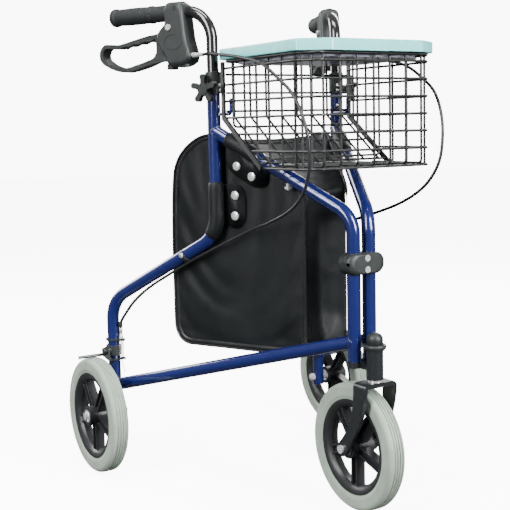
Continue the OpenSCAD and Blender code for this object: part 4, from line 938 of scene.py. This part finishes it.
def bag_flange(side):
    """Flat sewn edge that carries the piping round a side panel."""
    verts, faces = [], []
    row = len(FLANGE)
    for i, (s, z) in enumerate(outline):
        out = outline_normal(i)
        sunk = 1.6 if s < 96 and 255 < z < 492 else 0.0
        verts += [frame_point(s - d * out.x, BAG_N + n - sunk, z - d * out.y, side) for d, n in FLANGE]
    for i in range(len(outline)):
        j = (i + 1) % len(outline)
        for k in range(row):
            m = (k + 1) % row
            faces.append((i * row + k, i * row + m, j * row + m, j * row + k))
    return verts, faces


for side_name, side in SIDES:
    loop = [frame_point(s, BAG_N + 0.9, z, side) for s, z in outline]
    thick = [MM * (0.5 if s < 95 and 262 < z < 485 else 1.9) for s, z in outline]
    verts, faces = sweep(loop, thick, 10, closed=True)
    flange = bag_flange(side)
    verts, faces = gather([(verts, faces), flange])
    piping = new_piece(f"{side_name}_bag_piping", verts, faces, piping_vinyl, "front_block", "bag_vinyl")
    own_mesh(piping)
    stitches = []
    inner = []
    for i, (s, z) in enumerate(outline):
        out = outline_normal(i)
        inner.append(frame_point(s - 6.5 * out.x, BAG_N + 1.9, z - 6.5 * out.y, side))
    inner = even_steps(inner + inner[:1], 640)
    for k in range(0, 636, 3):
        stitches.append(sweep(inner[k:k + 3], [0.00022, 0.0004, 0.00022], 5))
    verts, faces = gather(stitches)
    seam = new_piece(f"{side_name}_bag_stitching", verts, faces, thread, "front_block", "bag_vinyl")
    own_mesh(seam)

# Straps that hold the bag to the frames, with domed snaps

STRUT_LOW_Z, STRUT_RISE = 458.5, (590 - 458.5) / 247
SNAPS = [(212.5, 533), (184.5, 516.5), (217, 486), (218, 453)]


def strap_sheet(outline_points, n, thick, side):
    """Flat leather tab with a soft edge, lying beside the bag's panel."""
    count = len(outline_points)
    middle = Vector((sum(p[0] for p in outline_points) / count, sum(p[1] for p in outline_points) / count))
    rings = [(0.0, -0.8), (0.0, 0.3), (0.25, 0.6), (0.8, 0.75), (2.0, 0.75), (2.6, 0.55), (3.4, 0.75)]
    verts, faces = [], []
    for inset, height in rings:
        for i in range(count):
            a, b = Vector(outline_points[i - 1]), Vector(outline_points[(i + 1) % count])
            d = (b - a).normalized()
            out = Vector((-d.y, d.x))
            p = Vector(outline_points[i]) - out * inset
            verts.append(frame_point(p.x, n + thick * height / 2, p.y, side))
    for r in range(len(rings) - 1):
        for i in range(count):
            j = (i + 1) % count
            faces.append((r * count + i, r * count + j, (r + 1) * count + j, (r + 1) * count + i))
    verts.append(frame_point(middle.x, n + thick * 0.4, middle.y, side))
    top = len(rings) - 1
    for i in range(count):
        faces.append((top * count + i, top * count + (i + 1) % count, len(verts) - 1))
    faces.append(tuple(reversed(range(count))))
    return verts, faces


def strut_z(s):
    return STRUT_LOW_Z + STRUT_RISE * s


UPPER_TAB = [(158, 512), (164, 504), (180, 503), (198, 512), (216, 522), (228, 534), (231, 556), (226, 572),
             (205, 561), (185, 550), (168, 541), (159, 528)]
LOWER_TAB = [(202, 470), (203, 450), (208, 440), (217, 436), (230, 439), (240, 446), (241, 470), (240, 498),
             (230, 500), (216, 500), (207, 496), (203, 486)]


def sleeve(path, r, thick, sides=28):
    """Leather wrapped round a tube, with rolled ends."""
    count = len(path)
    radii = [r + thick * min(1.0, 0.35 + 0.65 * min(i, count - 1 - i) / 1.5) for i in range(count)]
    return sweep(path, [v * MM for v in radii], sides)


for side_name, side in SIDES:
    body = f"{side_name}_frame"
    made = []
    for tab in (UPPER_TAB, LOWER_TAB):
        made.append(strap_sheet(closed_curve(tab, 72), -BAG_INSET + 0.9, 2.0, side))
    wrap = [frame_point(s, 0, strut_z(s), side) for s in np.linspace(166, 222, 16)]
    made.append(sleeve(wrap, TUBE_R, 2.0))
    upright = [frame_point(UPRIGHT_S, 0, z, side) for z in np.linspace(508, 456, 14)]
    for t in np.linspace(0.08, 0.62, 9):
        a = math.radians(61.2) * t
        upright.append(frame_point(UPRIGHT_S + 55 * (1 - math.cos(a)), 0, 454.5 - 55 * math.sin(a), side))
    made.append(sleeve(upright, TUBE_R, 2.2))
    verts, faces = gather(made)
    straps = new_piece(f"{side_name}_leather_straps", verts, faces, vinyl, body, "bag_vinyl")
    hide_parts(f"{side_name}_bag_straps")
    _, outward, _ = frame_axes(side)
    domes = [dome(frame_point(s, -BAG_INSET + 2.0 + 2.0, z, side), outward, 7.3 * MM, 2.0 * MM) for s, z in SNAPS]
    verts, faces = gather(domes)
    new_piece(f"{side_name}_snap_caps", verts, faces, bright_steel, body, "bright_steel")


# Seamless white surroundings: floor and backdrop are seen by the camera and light nothing

def white_stage(name, verts, faces, glow):
    look = Shader(name, (0.90, 0.90, 0.90), 0.9, specular=0.0)
    look.vary_color(look.noise(0.4, 2), 0.01)
    look.bsdf.inputs["Emission Color"].default_value = (1, 1, 1, 1)
    look.bsdf.inputs["Emission Strength"].default_value = glow
    obj = new_piece(name, verts, faces, look)
    obj.visible_diffuse = obj.visible_glossy = obj.visible_transmission = obj.visible_shadow = False
    return obj


FAR = 12.0
white_stage("floor", [(-FAR, -FAR, -0.0002), (FAR, -FAR, -0.0002), (FAR, FAR, -0.0002), (-FAR, FAR, -0.0002)],
            [(0, 1, 2, 3)], 8.6)
ring = [(FAR * math.cos(2 * math.pi * k / 48), FAR * math.sin(2 * math.pi * k / 48)) for k in range(48)]
wall_verts = [(x, y, z) for z in (-0.0002, 9.0) for x, y in ring] + [(0, 0, 11.0)]
wall_faces = [(k, (k + 1) % 48, 48 + (k + 1) % 48, 48 + k) for k in range(48)]
wall_faces += [(48 + k, 48 + (k + 1) % 48, 96) for k in range(48)]
white_stage("backdrop", wall_verts, wall_faces, 9.2)

world = bpy.data.worlds.new("studio")
SCENE.world = world
world.use_nodes = True
tree = world.node_tree
sky = tree.nodes["Background"]
place = tree.nodes.new("ShaderNodeTexCoord")
split = tree.nodes.new("ShaderNodeSeparateXYZ")
shade = tree.nodes.new("ShaderNodeMapRange")
for key, value in (("From Min", -1.0), ("From Max", 1.0), ("To Min", 0.10), ("To Max", 0.38)):
    shade.inputs[key].default_value = value
tree.links.new(place.outputs["Generated"], split.inputs["Vector"])
tree.links.new(split.outputs["Z"], shade.inputs["Value"])
tree.links.new(shade.outputs["Result"], sky.inputs["Strength"])
sky.inputs["Color"].default_value = (1, 1, 1, 1)


def area_light(name, at, toward, size, power):
    data = bpy.data.lights.new(name, "AREA")
    data.shape = "RECTANGLE"
    data.size, data.size_y = size
    data.energy = power
    obj = bpy.data.objects.new(name, data)
    SCENE.collection.objects.link(obj)
    obj.location = at
    obj.rotation_euler = (Vector(toward) - Vector(at)).to_track_quat("-Z", "Y").to_euler()
    return obj


area_light("key", (-2.2, -0.7, 1.7), (0, 0, 0.45), (0.9, 2.2), 125)
area_light("front", (0.7, -2.8, 1.6), (0, 0, 0.4), (0.8, 1.8), 215)
area_light("top", (-0.3, -0.2, 2.6), (0, 0, 0.4), (1.4, 0.5), 40)
area_light("rim", (1.9, 1.5, 1.6), (0, 0, 0.5), (0.8, 1.6), 40)
area_light("back", (-0.9, 2.6, 1.5), (0, 0, 0.4), (1.2, 1.6), 70)
